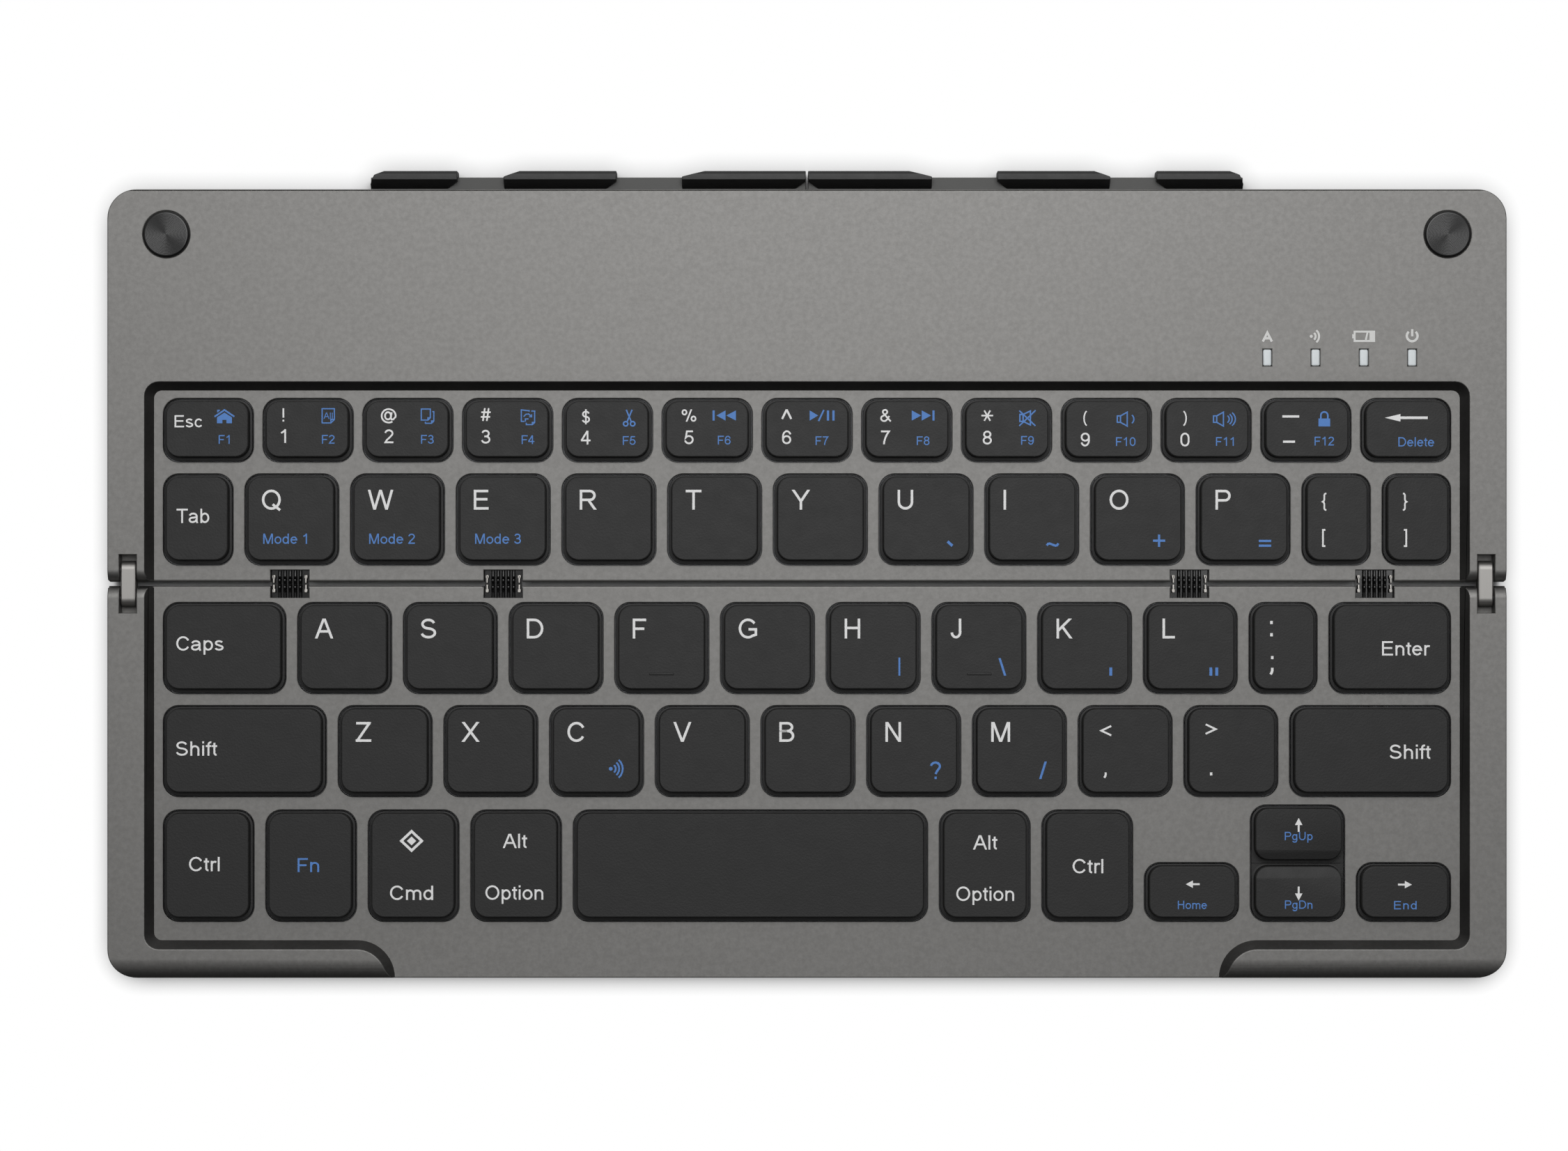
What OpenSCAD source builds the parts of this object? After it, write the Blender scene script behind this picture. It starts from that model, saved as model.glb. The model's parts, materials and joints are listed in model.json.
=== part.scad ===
// Folding keyboard: two slim metal halves joined by a double-pivot link at each side.
// x runs to the right, y to the rear and z up; z = 0 is the desk.
// Each half is drawn by its distance u from the hinge line, so both halves share their modules.

/* [Body] */
// Width of the keyboard
body_w = 240; // [228:0.5:280]
// Width of the rim at each side
side_rim_w = 6.3; // [6.2:0.1:9]
// Width of the front rim of the lower half
front_rim_w = 5; // [4.5:0.1:8]
// Height of the rim above the desk
rim_z = 7; // [6.9:0.1:8.5]
// Radius of the four outer corners, seen from above
corner_r = 5; // [2:0.5:6]
// Depth of the key deck below the rim
recess_d = 2.2; // [2.1:0.1:2.4]
// Thickness of the deck and the roof
skin_t = 1; // [0.8:0.1:1.1]
// Thickness of the outer walls
wall_t = 1.5; // [1:0.1:2]
// Thickness of the bottom covers
floor_t = 1; // [0.8:0.1:1.2]
// Width of the shadow line round the bottom covers
floor_inset = 0.2; // [0.1:0.1:0.5]
// Radius of the front edge of the lower half
front_round = 2; // [1:0.1:2]
// Small chamfer of the rear edge
rear_chamfer = 0.3; // [0.1:0.1:0.6]

/* [Recess] */
// Distance from the key field to each side of the recess
side_margin = 3; // [2.4:0.1:4]
// Distance from the number row to the rear wall of the recess
rear_margin = 2.82; // [2.4:0.02:4]
// Distance from the front row to the front wall of the recess
front_margin = 4.62; // [3.6:0.02:6]
// How far the sloped wall of the recess leans in, seen from above
recess_draft = 1.45; // [0.8:0.05:1.5]
// Radius of the recess corners at the rim
recess_r = 2.5; // [2.2:0.1:3]
// Length of the front rim at each side of the open front
front_rim_l = 47.7; // [30:0.1:60]

/* [Hinge] */
// Gap between the halves when open, and between their rims when folded
hinge_gap = 0.7; // [0.5:0.05:0.8]
// Distance between the two pivots of a link
link_pitch = 4.9; // [4.7:0.1:5.1]
// Radius of a link's round ends
link_r = 1.55; // [1.3:0.05:1.7]
// Width of a link
link_w = 2.6; // [2:0.1:2.8]
// Gap between a link and each side of its slot
link_gap = 0.18; // [0.1:0.01:0.3]
// Thickness of the wall outside the link
link_wall = 2; // [1.6:0.1:2.4]
// Distance from the hinge line to the end of a slot
slot_u = 5; // [4.6:0.1:6]
// Radius of the hinge pins
pin_r = 0.6; // [0.5:0.05:0.8]
// Radial gap between a pin and the link that turns on it
pin_gap = 0.03; // [0.02:0.01:0.08]
// Length of pin held in the wall on each side of a link
pin_hold = 1.2; // [0.8:0.1:1.2]

/* [Hinge windows] */
// Middles of the left windows, from the left side
left_windows = [31.05, 67.75];
// Middles of the right windows, from the right side
right_windows = [54.2, 22.3];
// Width of a window
window_w = 6.6; // [6:0.1:7]
// Distance from the hinge line to a window's end
window_u = 2.36; // [2.2:0.02:2.5]
// Thickness of the wall behind a window
window_wall = 0.6; // [0.5:0.05:0.7]
// Number of wires in a ribbon
wires = 5; // [4:1:6]
// Distance between the wires
wire_pitch = 0.89; // [0.8:0.01:0.95]
// Radius of a wire
wire_r = 0.3; // [0.2:0.02:0.35]

/* [Keys] */
// How many letter keys would fill the key field
keys_across = 12.29; // [12:0.01:12.6]
// Distance from the hinge line to the nearest row
first_row_u = 3.2; // [3.1:0.1:3.4]
// Depth of a letter key's opening
letter_d = 15.7; // [15:0.1:15.8]
// Gap between the openings of a row
key_gap = 2.03; // [1.9:0.01:2.1]
// Gap between the rows
row_gap = 2.03; // [1.9:0.01:2.1]
// Gap in front of the last letter row
last_gap = 2.25; // [2.1:0.05:2.4]
// Depth of a number key's opening
digit_d = 10.95; // [10.5:0.05:11]
// Gap between the number keys
digit_gap = 1.65; // [1.5:0.05:2]
// Width of the Tab key, in letter keys
tab_units = 0.772; // [0.7:0.001:0.85]
// Width of the Caps key, in letter keys
caps_units = 1.272; // [1.2:0.001:1.35]
// Width of the colon key, in letter keys
colon_units = 0.755; // [0.7:0.001:0.85]
// Width of the left Shift key, in letter keys
shift_units = 1.655; // [1.5:0.001:1.75]
// Depth of the front row's openings
front_row_d = 19.2; // [18.5:0.1:19.4]
// Width of a modifier key, in letter keys
modifier_units = 0.97; // [0.9:0.001:1]
// Width of an arrow key, in letter keys
arrow_units = 1.003; // [0.95:0.001:1.05]
// Depth of the left and right arrow openings
arrow_d = 10.15; // [9.5:0.05:10.5]
// How far the up arrow's opening reaches behind the front row
arrow_rise = 0.85; // [0:0.05:1.2]
// Gap between the up and down caps
arrow_split = 0.85; // [0.7:0.05:1]
// Radius of the openings' corners
opening_r = 2.7; // [2:0.1:3]

/* [Key caps] */
// Gap between a cap and its opening
cap_gap = 0.35; // [0.25:0.05:0.45]
// Height of the caps above the deck
cap_rise = 1.8; // [1.6:0.1:1.9]
// Width of the ledge round a cap's top part
cap_ledge = 0.4; // [0.3:0.05:0.5]
// Height of that ledge above the deck
ledge_rise = 0.2; // [0.1:0.05:0.4]
// How far a cap's sides lean in above the ledge
cap_draft = 0.2; // [0.1:0.05:0.3]
// Thickness of a cap's top
cap_top_t = 1; // [0.8:0.1:1.2]
// Thickness of a cap's sides
cap_wall = 1.3; // [1.2:0.1:1.6]
// Key travel
travel = 1.5; // [1.2:0.1:1.5]
// Length of the slopes by which the up and down caps dip towards each other
dip_l = 3; // [2:0.1:4]
// Depth of that dip, midway between the two caps
dip_d = 0.5; // [0.3:0.05:0.6]
// Length of the homing bars
homing_l = 4.2; // [3:0.1:4.5]
// Distance from a homing bar to the front of its opening
homing_front = 3.45; // [2.5:0.05:5]

/* [Under the keys] */
// Thickness of the plates under the keys
plate_t = 0.6; // [0.4:0.1:0.6]
// Radius of a rubber dome's foot
dome_r = 3; // [2.6:0.1:3.2]
// Gap between a dome and its cap
dome_gap = 0.05; // [0.03:0.01:0.1]

/* [Tilt legs] */
// Distance from each side to the leg's outer end
leg_in = 44.9; // [40:0.1:50]
// Gap between the two legs, at the middle
leg_split = 0.4; // [0.3:0.1:1]
// Length of a leg, from its pivot to its edge
leg_l = 14.3; // [12:0.1:16]
// How far the legs' edge stands out behind the body
leg_out = 2.3; // [1.5:0.1:3]
// How far the rubber shoes stand out behind the body
shoe_out = 3.3; // [2.6:0.1:4]
// Thickness of a leg
leg_t = 2.4; // [2:0.1:2.4]
// Radius of a leg's barrel
barrel_r = 1.5; // [1.3:0.05:1.5]
// Radius of a leg's pivot studs
stud_r = 0.75; // [0.6:0.05:0.9]
// Room round a leg in its pocket
leg_room = 0.3; // [0.25:0.05:0.4]
// Width of the ear between the legs
ear_w = 3; // [2.6:0.1:4]

/* [Small parts] */
// Distance from the sides to the bumpers' middles
bumper_in = 10.1; // [9:0.1:14]
// Distance from the rear edge to the bumpers' middles
bumper_back = 7.75; // [6:0.05:10]
// Radius of a bumper
bumper_r = 4.05; // [3:0.05:4.5]
// Height of the bumpers above the rim
bumper_rise = 0.5; // [0.3:0.05:0.5]
// Chamfer round the top of a bumper
bumper_chamfer = 0.35; // [0.1:0.05:0.4]
// Thickness of the rubber feet below the bottom covers
foot_rise = 0.6; // [0.4:0.1:0.8]
// Depth of the seats for feet and bumpers
seat_d = 0.4; // [0.2:0.05:0.45]
// Length and width of a foot
foot_size = [14, 5];
// Distance from the sides to the outer feet's middles
foot_in = 22; // [18:0.5:30]
// Distance from the right side to the first indicator window
lamp_in = 41.05; // [40:0.05:44]
// Distance from the recess to the indicator windows
lamp_back = 4.1; // [3:0.1:6]
// Distance between the indicator windows
lamp_pitch = 8.28; // [7:0.01:9]
// Width and depth of an indicator window
lamp_size = [1.46, 2.84];
// Distance from the recess to the switch knob
switch_back = 5.8; // [5:0.1:7]
// Width and height of the switch knob
knob_size = [1.6, 1.3];
// Travel of the power switch
switch_travel = 2.2; // [1.5:0.1:2.5]
// How far the switch knob stands out
knob_out = 0.3; // [0.1:0.1:1]
// Distance from the rear edge to the charging socket
port_back = 15.2; // [13:0.1:17]
// Width and height of the charging socket
port_size = [7.5, 2.6];
// Radius of the screws' shanks
screw_r = 0.7; // [0.6:0.05:0.9]
// Radius of the screws' heads
screw_head_r = 1.4; // [1.2:0.05:1.6]
// Thinnest gap, where pieces of one half are seated in each other
seat_gap = 0.02; // [0.01:0.01:0.04]

/* [Hidden] */
$fn = 48;
cap_fn = 20;
cut = 1;

floor_z = foot_rise;
split_z = floor_z + floor_t;
deck_z = rim_z - recess_d;
under_deck_z = deck_z - skin_t;
roof_z = rim_z - skin_t;
pivot_u = link_pitch / 2;
hinge_round = pivot_u - hinge_gap / 2;
pivot_z = rim_z - hinge_round;
hinge_y = -shoe_out / 2;
slot_x = body_w / 2 - link_wall;
slot_w = link_w + 2 * link_gap;
link_x = slot_x - slot_w / 2;

recess_x = body_w / 2 - side_rim_w;
deck_x = recess_x - recess_draft;
deck_sink = 0.4;
low_draft = recess_draft * (1 + deck_sink / recess_d);
room_x = deck_x - 0.6;
room_u = window_u + window_wall;
row_2_u = first_row_u + letter_d + row_gap;
front_row_u = row_2_u + letter_d + last_gap;
front_end_u = front_row_u + front_row_d;
upper_recess_u = row_2_u + digit_d + rear_margin;
lower_recess_u = front_end_u + front_margin;
half_d = lower_recess_u + front_rim_w;
rear_room_u = upper_recess_u + skin_t;
lower_room_u = lower_recess_u - recess_draft - 1.8;
front_open_x = body_w / 2 - front_rim_l;

keys_w = 2 * (recess_x - side_margin);
unit = (keys_w + key_gap) / keys_across;
// openings come in hundredths of a millimetre
function to_hundredth(w) = round(w * 100) / 100;
letter_w = to_hundredth(unit - key_gap);
tab_w = to_hundredth(tab_units * unit - key_gap);
caps_w = to_hundredth(caps_units * unit - key_gap);
colon_w = to_hundredth(colon_units * unit - key_gap);
shift_w = to_hundredth(shift_units * unit - key_gap);
modifier_w = to_hundredth(modifier_units * unit - key_gap);
arrow_w = to_hundredth(arrow_units * unit - key_gap);
digit_w = to_hundredth((keys_w - 12 * digit_gap) / 13);
bracket_w = to_hundredth((keys_w - tab_w - 10 * letter_w - 12 * key_gap) / 2);
enter_w = keys_w - caps_w - 9 * letter_w - colon_w - 11 * key_gap;
right_shift_w = keys_w - shift_w - 9 * letter_w - 10 * key_gap;
space_w = keys_w - 6 * modifier_w - 3 * arrow_w - 9 * key_gap;

digit_ws = [for (i = [1:13]) digit_w];
tab_ws = concat([tab_w], [for (i = [1:10]) letter_w], [bracket_w, bracket_w]);
caps_ws = concat([caps_w], [for (i = [1:9]) letter_w], [colon_w, enter_w]);
shift_ws = concat([shift_w], [for (i = [1:9]) letter_w], [right_shift_w]);
front_ws = [modifier_w, modifier_w, modifier_w, modifier_w, space_w, modifier_w, modifier_w,
            arrow_w, arrow_w, arrow_w];

// A cell is [x, u, width, depth] of an opening; a row of cells fills the key field.
function sum_to(v, n) = n < 1 ? 0 : v[n - 1] + sum_to(v, n - 1);
function row_cells(ws, gap, u, d) =
    [for (i = [0:len(ws) - 1]) [-keys_w / 2 + sum_to(ws, i) + i * gap + ws[i] / 2, u + d / 2, ws[i], d]];
// The same cell with its near and far edges set anew
function recut(cell, near, far) = [cell[0], (near + far) / 2, cell[2], far - near];

digit_cells = row_cells(digit_ws, digit_gap, row_2_u, digit_d);
tab_cells = row_cells(tab_ws, key_gap, first_row_u, letter_d);
caps_cells = row_cells(caps_ws, key_gap, first_row_u, letter_d);
shift_cells = row_cells(shift_ws, key_gap, row_2_u, letter_d);
front_cells = row_cells(front_ws, key_gap, front_row_u, front_row_d);
left_cell = recut(front_cells[7], front_end_u - arrow_d, front_end_u);
right_cell = recut(front_cells[9], front_end_u - arrow_d, front_end_u);
pair_cell = recut(front_cells[8], front_row_u - arrow_rise, front_end_u);
up_cell = recut(pair_cell, pair_cell[1] - pair_cell[3] / 2, pair_cell[1] - arrow_split / 2 + cap_gap);
down_cell = recut(pair_cell, pair_cell[1] + arrow_split / 2 - cap_gap, pair_cell[1] + pair_cell[3] / 2);
upper_openings = concat(digit_cells, tab_cells);
lower_openings = concat(caps_cells, shift_cells, [for (i = [0:6]) front_cells[i]],
                        [left_cell, pair_cell, right_cell]);
upper_caps = upper_openings;
lower_caps = concat(caps_cells, shift_cells, [for (i = [0:6]) front_cells[i]],
                    [left_cell, up_cell, down_cell, right_cell]);

plate_z = split_z + plate_t;
cap_low_z = plate_z + travel + 0.1;
cap_top_z = deck_z + cap_rise;
ledge_z = deck_z + ledge_rise;
cap_room_z = cap_top_z - cap_top_t;
wire_z = pivot_z - 0.85;
wire_end_u = room_u - 0.05;

leg_x = body_w / 2 - leg_in;
leg_pivot_u = half_d + leg_out - leg_l;
leg_pivot_z = floor_z + barrel_r;
pocket_z = leg_pivot_z + barrel_r + leg_room;
pocket_u = leg_pivot_u - barrel_r - leg_room;
pocket_x = leg_x + leg_room;
pocket_wall = 0.8;
stud_gap = 0.05;
shoe_low_z = 0.4;
shoe_top_z = 5.4;
shoe_near_u = half_d + leg_room;

board_z = split_z + 1;
board_t = 0.8;
board_top_z = board_z + board_t;
board_low_u = rear_room_u + 0.5;
board_high_u = pocket_u - pocket_wall - 0.5;
board_high_x = body_w / 2 - wall_t - 0.5;
board_low_x = board_high_x - 72;
lamp_at = [body_w / 2 - lamp_in, upper_recess_u + lamp_back];
lamp_x = [for (i = [0:3]) lamp_at[0] + i * lamp_pitch];
switch_u = upper_recess_u + switch_back;
port_u = half_d - port_back;
lamp_led_h = 0.8;
knob_z = board_top_z + 1;
port_z = board_top_z + port_size[1] / 2;
battery_x = [board_low_x - 108, board_low_x - 24];
battery_t = 3.2;
port_in = 0.4;
port_l = 6.6;
port_t = 0.3;
screw_x = body_w / 2 - side_rim_w * 2 / 3;
upper_screws_at = [for (x = [-screw_x, screw_x]) for (u = [12, upper_recess_u - 3.7, half_d - 7]) [x, u]];
lower_screws_at = concat([for (x = [-screw_x, screw_x]) for (u = [12, half_d / 2, half_d - 9]) [x, u]],
                         [for (k = [-1:1]) [k * front_open_x * 0.7, half_d - 3.6]]);
foot_x = body_w / 2 - foot_in;
upper_feet_at = concat([for (x = [-foot_x, 0, foot_x]) [x, 11]],
                       [for (x = [-foot_x, foot_x]) [x, half_d - 8]]);
lower_feet_at = [for (x = [-foot_x, 0, foot_x]) for (u = [11, half_d - 12]) [x, u]];
bumper_at = [body_w / 2 - bumper_in, half_d - bumper_back];
window_x = concat([for (d = left_windows) d - body_w / 2], [for (d = right_windows) body_w / 2 - d]);
screw_top_z = split_z + 2;
screw_head_t = 0.5;

cover_grey = "#868583";
link_grey = "#989796";
cap_black = "#3a3a3a";
leg_grey = "#4a4a48";
rubber_black = "#232322";

// ---- Frames and small shapes ----

// The upper half lies behind the hinge line, the lower half in front of it.
module in_upper() translate([0, hinge_y, 0]) children();
module in_lower() translate([0, hinge_y, 0]) mirror([0, 1, 0]) children();

// Extrudes a (u, z) profile along x, about x = 0.
module along_x(w) rotate([90, 0, 90]) linear_extrude(w, center = true) children();

// Draws its child at the right, and its mirror image at the left.
module each_side() {
    children();
    mirror([1, 0, 0]) children();
}

module box(low, high) translate(low) cube(high - low);

module rounded_rect(w, d, r) {
    square([w - 2 * r, d], center = true);
    square([w, d - 2 * r], center = true);
    for (sx = [-1, 1]) for (sy = [-1, 1]) translate([sx * (w / 2 - r), sy * (d / 2 - r)]) circle(r);
}

// Plan of one half: square at the hinge, rounded at the far corners
module half_plan(inset = 0) {
    w = body_w - 2 * inset;
    r = corner_r - inset;
    near = hinge_gap / 2 + inset;
    far = half_d - inset;
    translate([-w / 2, near]) square([w, far - r - near]);
    translate([-w / 2 + r, near]) square([w - 2 * r, far - near]);
    for (s = [-1, 1]) translate([s * (w / 2 - r), far - r]) circle(r);
}

function arc(c, r, from, to, n) =
    [for (i = [0:n]) c + r * [cos(from + (to - from) * i / n), sin(from + (to - from) * i / n)]];

function mirrored(points) = [for (i = [len(points) - 1:-1:0]) [-points[i][0], points[i][1]]];

// Outline of a recess, leaning in by lean: right half first, then the left half
function upper_recess(lean) =
    let (r = recess_r - lean * 0.8, x = recess_x - lean, u = upper_recess_u - lean,
         right = concat([[x, -cut]], arc([x - r, u - r], r, 0, 90, 6)))
    concat(right, mirrored(right));

function lower_recess(lean) =
    let (r = recess_r - lean * 0.8, x = recess_x - lean, u = lower_recess_u - lean,
         rim_r = half_d - u, rim_c = [front_open_x + front_rim_w, half_d],
         right = concat([[x, -cut]], arc([x - r, u - r], r, 0, 90, 6),
                        arc(rim_c, rim_r, 270, 180, 12), [[rim_c[0] - rim_r, half_d + cut]]))
    concat(right, mirrored(right));

// A solid through outlines with the same number of points, each at its own height
module loft(outlines, heights) {
    n = len(outlines[0]);
    last = len(outlines) - 1;
    points = [for (k = [0:last]) for (p = outlines[k]) [p[0], p[1], heights[k]]];
    sides = [for (k = [0:last - 1]) for (i = [0:n - 1])
        [k * n + i, (k + 1) * n + i, (k + 1) * n + (i + 1) % n, k * n + (i + 1) % n]];
    polyhedron(points, concat(sides, [[for (i = [0:n - 1]) i], [for (i = [n - 1:-1:0]) last * n + i]]));
}

// ---- Covers ----

// Side profile of a top cover: the hinge edge is round about the pivot
module cover_profile(far_r) {
    translate([hinge_gap / 2, split_z]) square([half_d + (far_r > 0 ? 0 : cut) - hinge_gap / 2,
                                                 (far_r > 0 ? rim_z - far_r : pivot_z) - split_z]);
    translate([pivot_u, split_z]) square([half_d + (far_r > 0 ? -far_r : cut) - pivot_u, rim_z - split_z]);
    translate([pivot_u, pivot_z]) circle(hinge_round);
    if (far_r > 0) translate([half_d - far_r, rim_z - far_r]) circle(far_r);
}

module cover_block(far_r) intersection() {
    along_x(body_w + 2 * cut) cover_profile(far_r);
    translate([0, 0, split_z]) linear_extrude(rim_z - split_z) half_plan();
}

// The walls lean on a little below the deck, where a flat box cuts them off
module recess_cut(top, low) intersection() {
    loft([low, top, top], [deck_z - deck_sink, rim_z, rim_z + cut]);
    box([-body_w, -body_w, deck_z], [body_w, body_w, rim_z + 2 * cut]);
}

module openings_cut(cells) translate([0, 0, under_deck_z - cut]) linear_extrude(skin_t + 2 * cut)
    for (c = cells) translate([c[0], c[1]]) rounded_rect(c[2], c[3], opening_r);

// Slots for the links, with the blind holes for their pins
module hinge_cut() each_side() {
    box([link_x - slot_w / 2, -cut, pivot_z - link_r - 0.35], [link_x + slot_w / 2, slot_u, rim_z + cut]);
    translate([link_x, pivot_u, pivot_z]) rotate([0, 90, 0])
        cylinder(h = slot_w + 2 * pin_hold, r = pin_r + seat_gap / 2, center = true);
}

module windows_cut(low_z, high_z) for (x = window_x)
    box([x - window_w / 2, -cut, low_z], [x + window_w / 2, window_u, high_z]);

// Slots that the ribbons' wires enter behind each window
module wire_slots() for (x = window_x)
    box([x - wires * wire_pitch / 2 - 0.1, window_u - cut, wire_z - wire_r - 0.1],
        [x + wires * wire_pitch / 2 + 0.1, room_u + cut, wire_z + wire_r + 0.1]);

module screw_holes(places, low_z, high_z, r) for (p = places)
    translate([p[0], p[1], low_z]) cylinder(h = high_z - low_z, r = r);

module upper_top_cover() in_upper() color(cover_grey) {
    difference() {
        cover_block(0);
        recess_cut(upper_recess(0), upper_recess(low_draft));
        openings_cut(upper_openings);
        box([-room_x, room_u, split_z - cut], [room_x, rear_room_u + cut, under_deck_z]);
        box([-body_w / 2 + wall_t, rear_room_u, split_z - cut],
            [body_w / 2 - wall_t, half_d - wall_t, roof_z]);
        hinge_cut();
        windows_cut(split_z - cut, rim_z);
        wire_slots();
        for (x = lamp_x) translate([x, lamp_at[1], (roof_z + rim_z) / 2])
            cube([lamp_size[0] + 2 * seat_gap, lamp_size[1] + 2 * seat_gap, skin_t + 2 * cut], center = true);
        each_side() translate([bumper_at[0], bumper_at[1], rim_z - seat_d])
            cylinder(h = seat_d + cut, r = bumper_r + seat_gap);
        knob_slot();
        translate([body_w / 2, port_u, port_z])
            cube([2 * wall_t + cut, port_size[0] + 0.3, port_size[1] + 0.3], center = true);
        box([-pocket_x - pocket_wall, half_d - wall_t - cut, split_z - cut],
            [pocket_x + pocket_wall, half_d + cut, pocket_z + pocket_wall]);
        translate([0, half_d, rim_z]) rotate([45, 0, 0])
            cube([body_w + cut, rear_chamfer * sqrt(2), rear_chamfer * sqrt(2)], center = true);
        screw_holes(upper_screws_at, split_z - cut, screw_top_z + 0.1, screw_r + seat_gap);
    }
    // bosses for the rear screws
    for (p = upper_screws_at) if (p[1] > rear_room_u) difference() {
        translate([p[0], p[1], split_z]) cylinder(h = roof_z - split_z + skin_t / 2, r = 2.4);
        screw_holes([p], split_z - cut, screw_top_z + 0.1, screw_r + seat_gap);
    }
}

module knob_slot() box(
    [body_w / 2 - wall_t - cut, switch_u - knob_size[0] / 2 - 0.2, knob_z - knob_size[1] / 2 - 0.15],
    [body_w / 2 + cut, switch_u + knob_size[0] / 2 + switch_travel + 0.2, knob_z + knob_size[1] / 2 + 0.15]);

module lower_top_cover() in_lower() color(cover_grey) difference() {
    cover_block(front_round);
    recess_cut(lower_recess(0), lower_recess(low_draft));
    openings_cut(lower_openings);
    box([-room_x, room_u, split_z - cut], [room_x, lower_room_u, under_deck_z]);
    hinge_cut();
    windows_cut(split_z - cut, rim_z);
    wire_slots();
    screw_holes(lower_screws_at, split_z - cut, screw_top_z + 0.1, screw_r + seat_gap);
}

// A flat cover with countersunk screw holes and seats for the feet
module floor_plate(screws, feet) difference() {
    translate([0, 0, floor_z]) linear_extrude(floor_t) half_plan(floor_inset);
    windows_cut(floor_z - cut, split_z + cut);
    screw_holes(screws, floor_z - cut, split_z + cut, screw_r + seat_gap);
    screw_holes(screws, floor_z - cut, floor_z + screw_head_t, screw_head_r + seat_gap);
    for (p = feet) translate([p[0], p[1], floor_z - cut]) linear_extrude(seat_d + cut) foot_plan(seat_gap);
}

module foot_plan(grow = 0)
    rounded_rect(foot_size[0] + 2 * grow, foot_size[1] + 2 * grow, foot_size[1] / 2 + grow - 0.01);

// The upper floor also holds the pocket for the tilt legs and the posts under the board
module upper_bottom_cover() in_upper() color(cover_grey) {
    difference() {
        union() {
            floor_plate(upper_screws_at, upper_feet_at);
            box([-pocket_x - pocket_wall, pocket_u - pocket_wall, split_z - 0.1],
                [pocket_x + pocket_wall, half_d - floor_inset, pocket_z + pocket_wall]);
        }
        box([-pocket_x, pocket_u, floor_z - cut], [pocket_x, half_d + cut, pocket_z]);
        leg_axis(pocket_x + pocket_wall + cut, stud_r + stud_gap);
    }
    // the ear between the legs is round about their pivot
    difference() {
        union() {
            box([-ear_w / 2, pocket_u - 0.1, floor_z], [ear_w / 2, leg_pivot_u, pocket_z + 0.1]);
            box([-ear_w / 2, pocket_u, leg_pivot_z], [ear_w / 2, leg_pivot_u + barrel_r, pocket_z + 0.1]);
            leg_axis(ear_w / 2, barrel_r);
        }
        leg_axis(ear_w, stud_r + stud_gap);
    }
    for (p = board_posts()) box([p[0] - 1.5, p[1] - 1.5, split_z - 0.1], [p[0] + 1.5, p[1] + 1.5, board_z]);
}

module leg_axis(reach, r) translate([0, leg_pivot_u, leg_pivot_z]) rotate([0, 90, 0])
    cylinder(h = 2 * reach, r = r, center = true);

module lower_bottom_cover() in_lower() color(cover_grey) floor_plate(lower_screws_at, lower_feet_at);

// ---- Under the keys ----

module key_plate(far_u) box([-room_x + 0.3, room_u + 0.2, split_z], [room_x - 0.3, far_u, plate_z]);

module upper_key_plate() in_upper() color("#b9bcbe") key_plate(row_2_u + digit_d + 1);

module lower_key_plate() in_lower() color("#b9bcbe") key_plate(front_end_u + 0.8);

module dome(c) {
    top = cap_room_z - dome_gap;
    translate([c[0], c[1], 0]) rotate_extrude() polygon([
        [0, plate_z], [dome_r, plate_z], [dome_r, plate_z + 0.3], [dome_r - 0.5, plate_z + 0.4],
        [dome_r * 0.6, top - 0.5], [dome_r * 0.55, top], [0, top]]);
}

module upper_domes() in_upper() color("#d8d8d4") for (c = upper_caps) dome(c);

module lower_domes() in_lower() color("#d8d8d4") for (c = lower_caps) dome(c);

// ---- Electronics ----

function board_posts() =
    [for (d = [4, 28, 54]) for (u = [board_low_u + 3, board_high_u - 3]) [board_low_x + d, u]];

module main_board() in_upper() color("#2f5a3c") {
    difference() {
        translate([0, 0, board_z]) linear_extrude(board_t) polygon([
            [board_low_x, board_low_u], [board_high_x, board_low_u], [board_high_x, half_d - 9],
            [pocket_x + 3, half_d - 9], [pocket_x + 3, board_high_u], [board_low_x, board_high_u]]);
        // lets the rear screw boss pass
        for (p = upper_screws_at) translate([p[0], p[1], board_z - cut]) cylinder(h = 3, r = 3);
    }
    // lamps, chip and switch housing
    for (x = lamp_x) translate([x, lamp_at[1], board_top_z + lamp_led_h / 2])
        cube([1.6, 0.8, lamp_led_h], center = true);
    translate([board_low_x + 10, board_low_u + 4, board_top_z]) cube([7, 7, 1]);
    difference() {
        box([body_w / 2 - wall_t - 4.5, switch_u - 3, board_top_z],
            [body_w / 2 - wall_t - 0.3, switch_u + 5, board_top_z + 2]);
        box([body_w / 2 - wall_t - 3, switch_u - knob_size[0] / 2 - 0.2, knob_z - knob_size[1] / 2 - 0.1],
            [body_w / 2, switch_u + knob_size[0] / 2 + switch_travel + 0.2, knob_z + knob_size[1] / 2 + 0.1]);
    }
}

module battery() in_upper() color("#9aa0a6")
    box([battery_x[0], board_low_u, split_z], [battery_x[1], board_high_u, split_z + battery_t]);

// A sheet-metal socket with a tongue inside
module charge_port() in_upper() color("#b8bcc0") translate([body_w / 2 - port_in, port_u, port_z]) {
    difference() {
        translate([-port_l / 2, 0, 0]) cube([port_l, port_size[0], port_size[1]], center = true);
        translate([-port_l / 2 + 1, 0, 0])
            cube([port_l, port_size[0] - 2 * port_t, port_size[1] - 2 * port_t], center = true);
    }
    translate([-port_l / 2 - 0.4, 0, 0]) cube([port_l - 0.8, port_size[0] - 2.6, port_t * 2], center = true);
}

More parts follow.
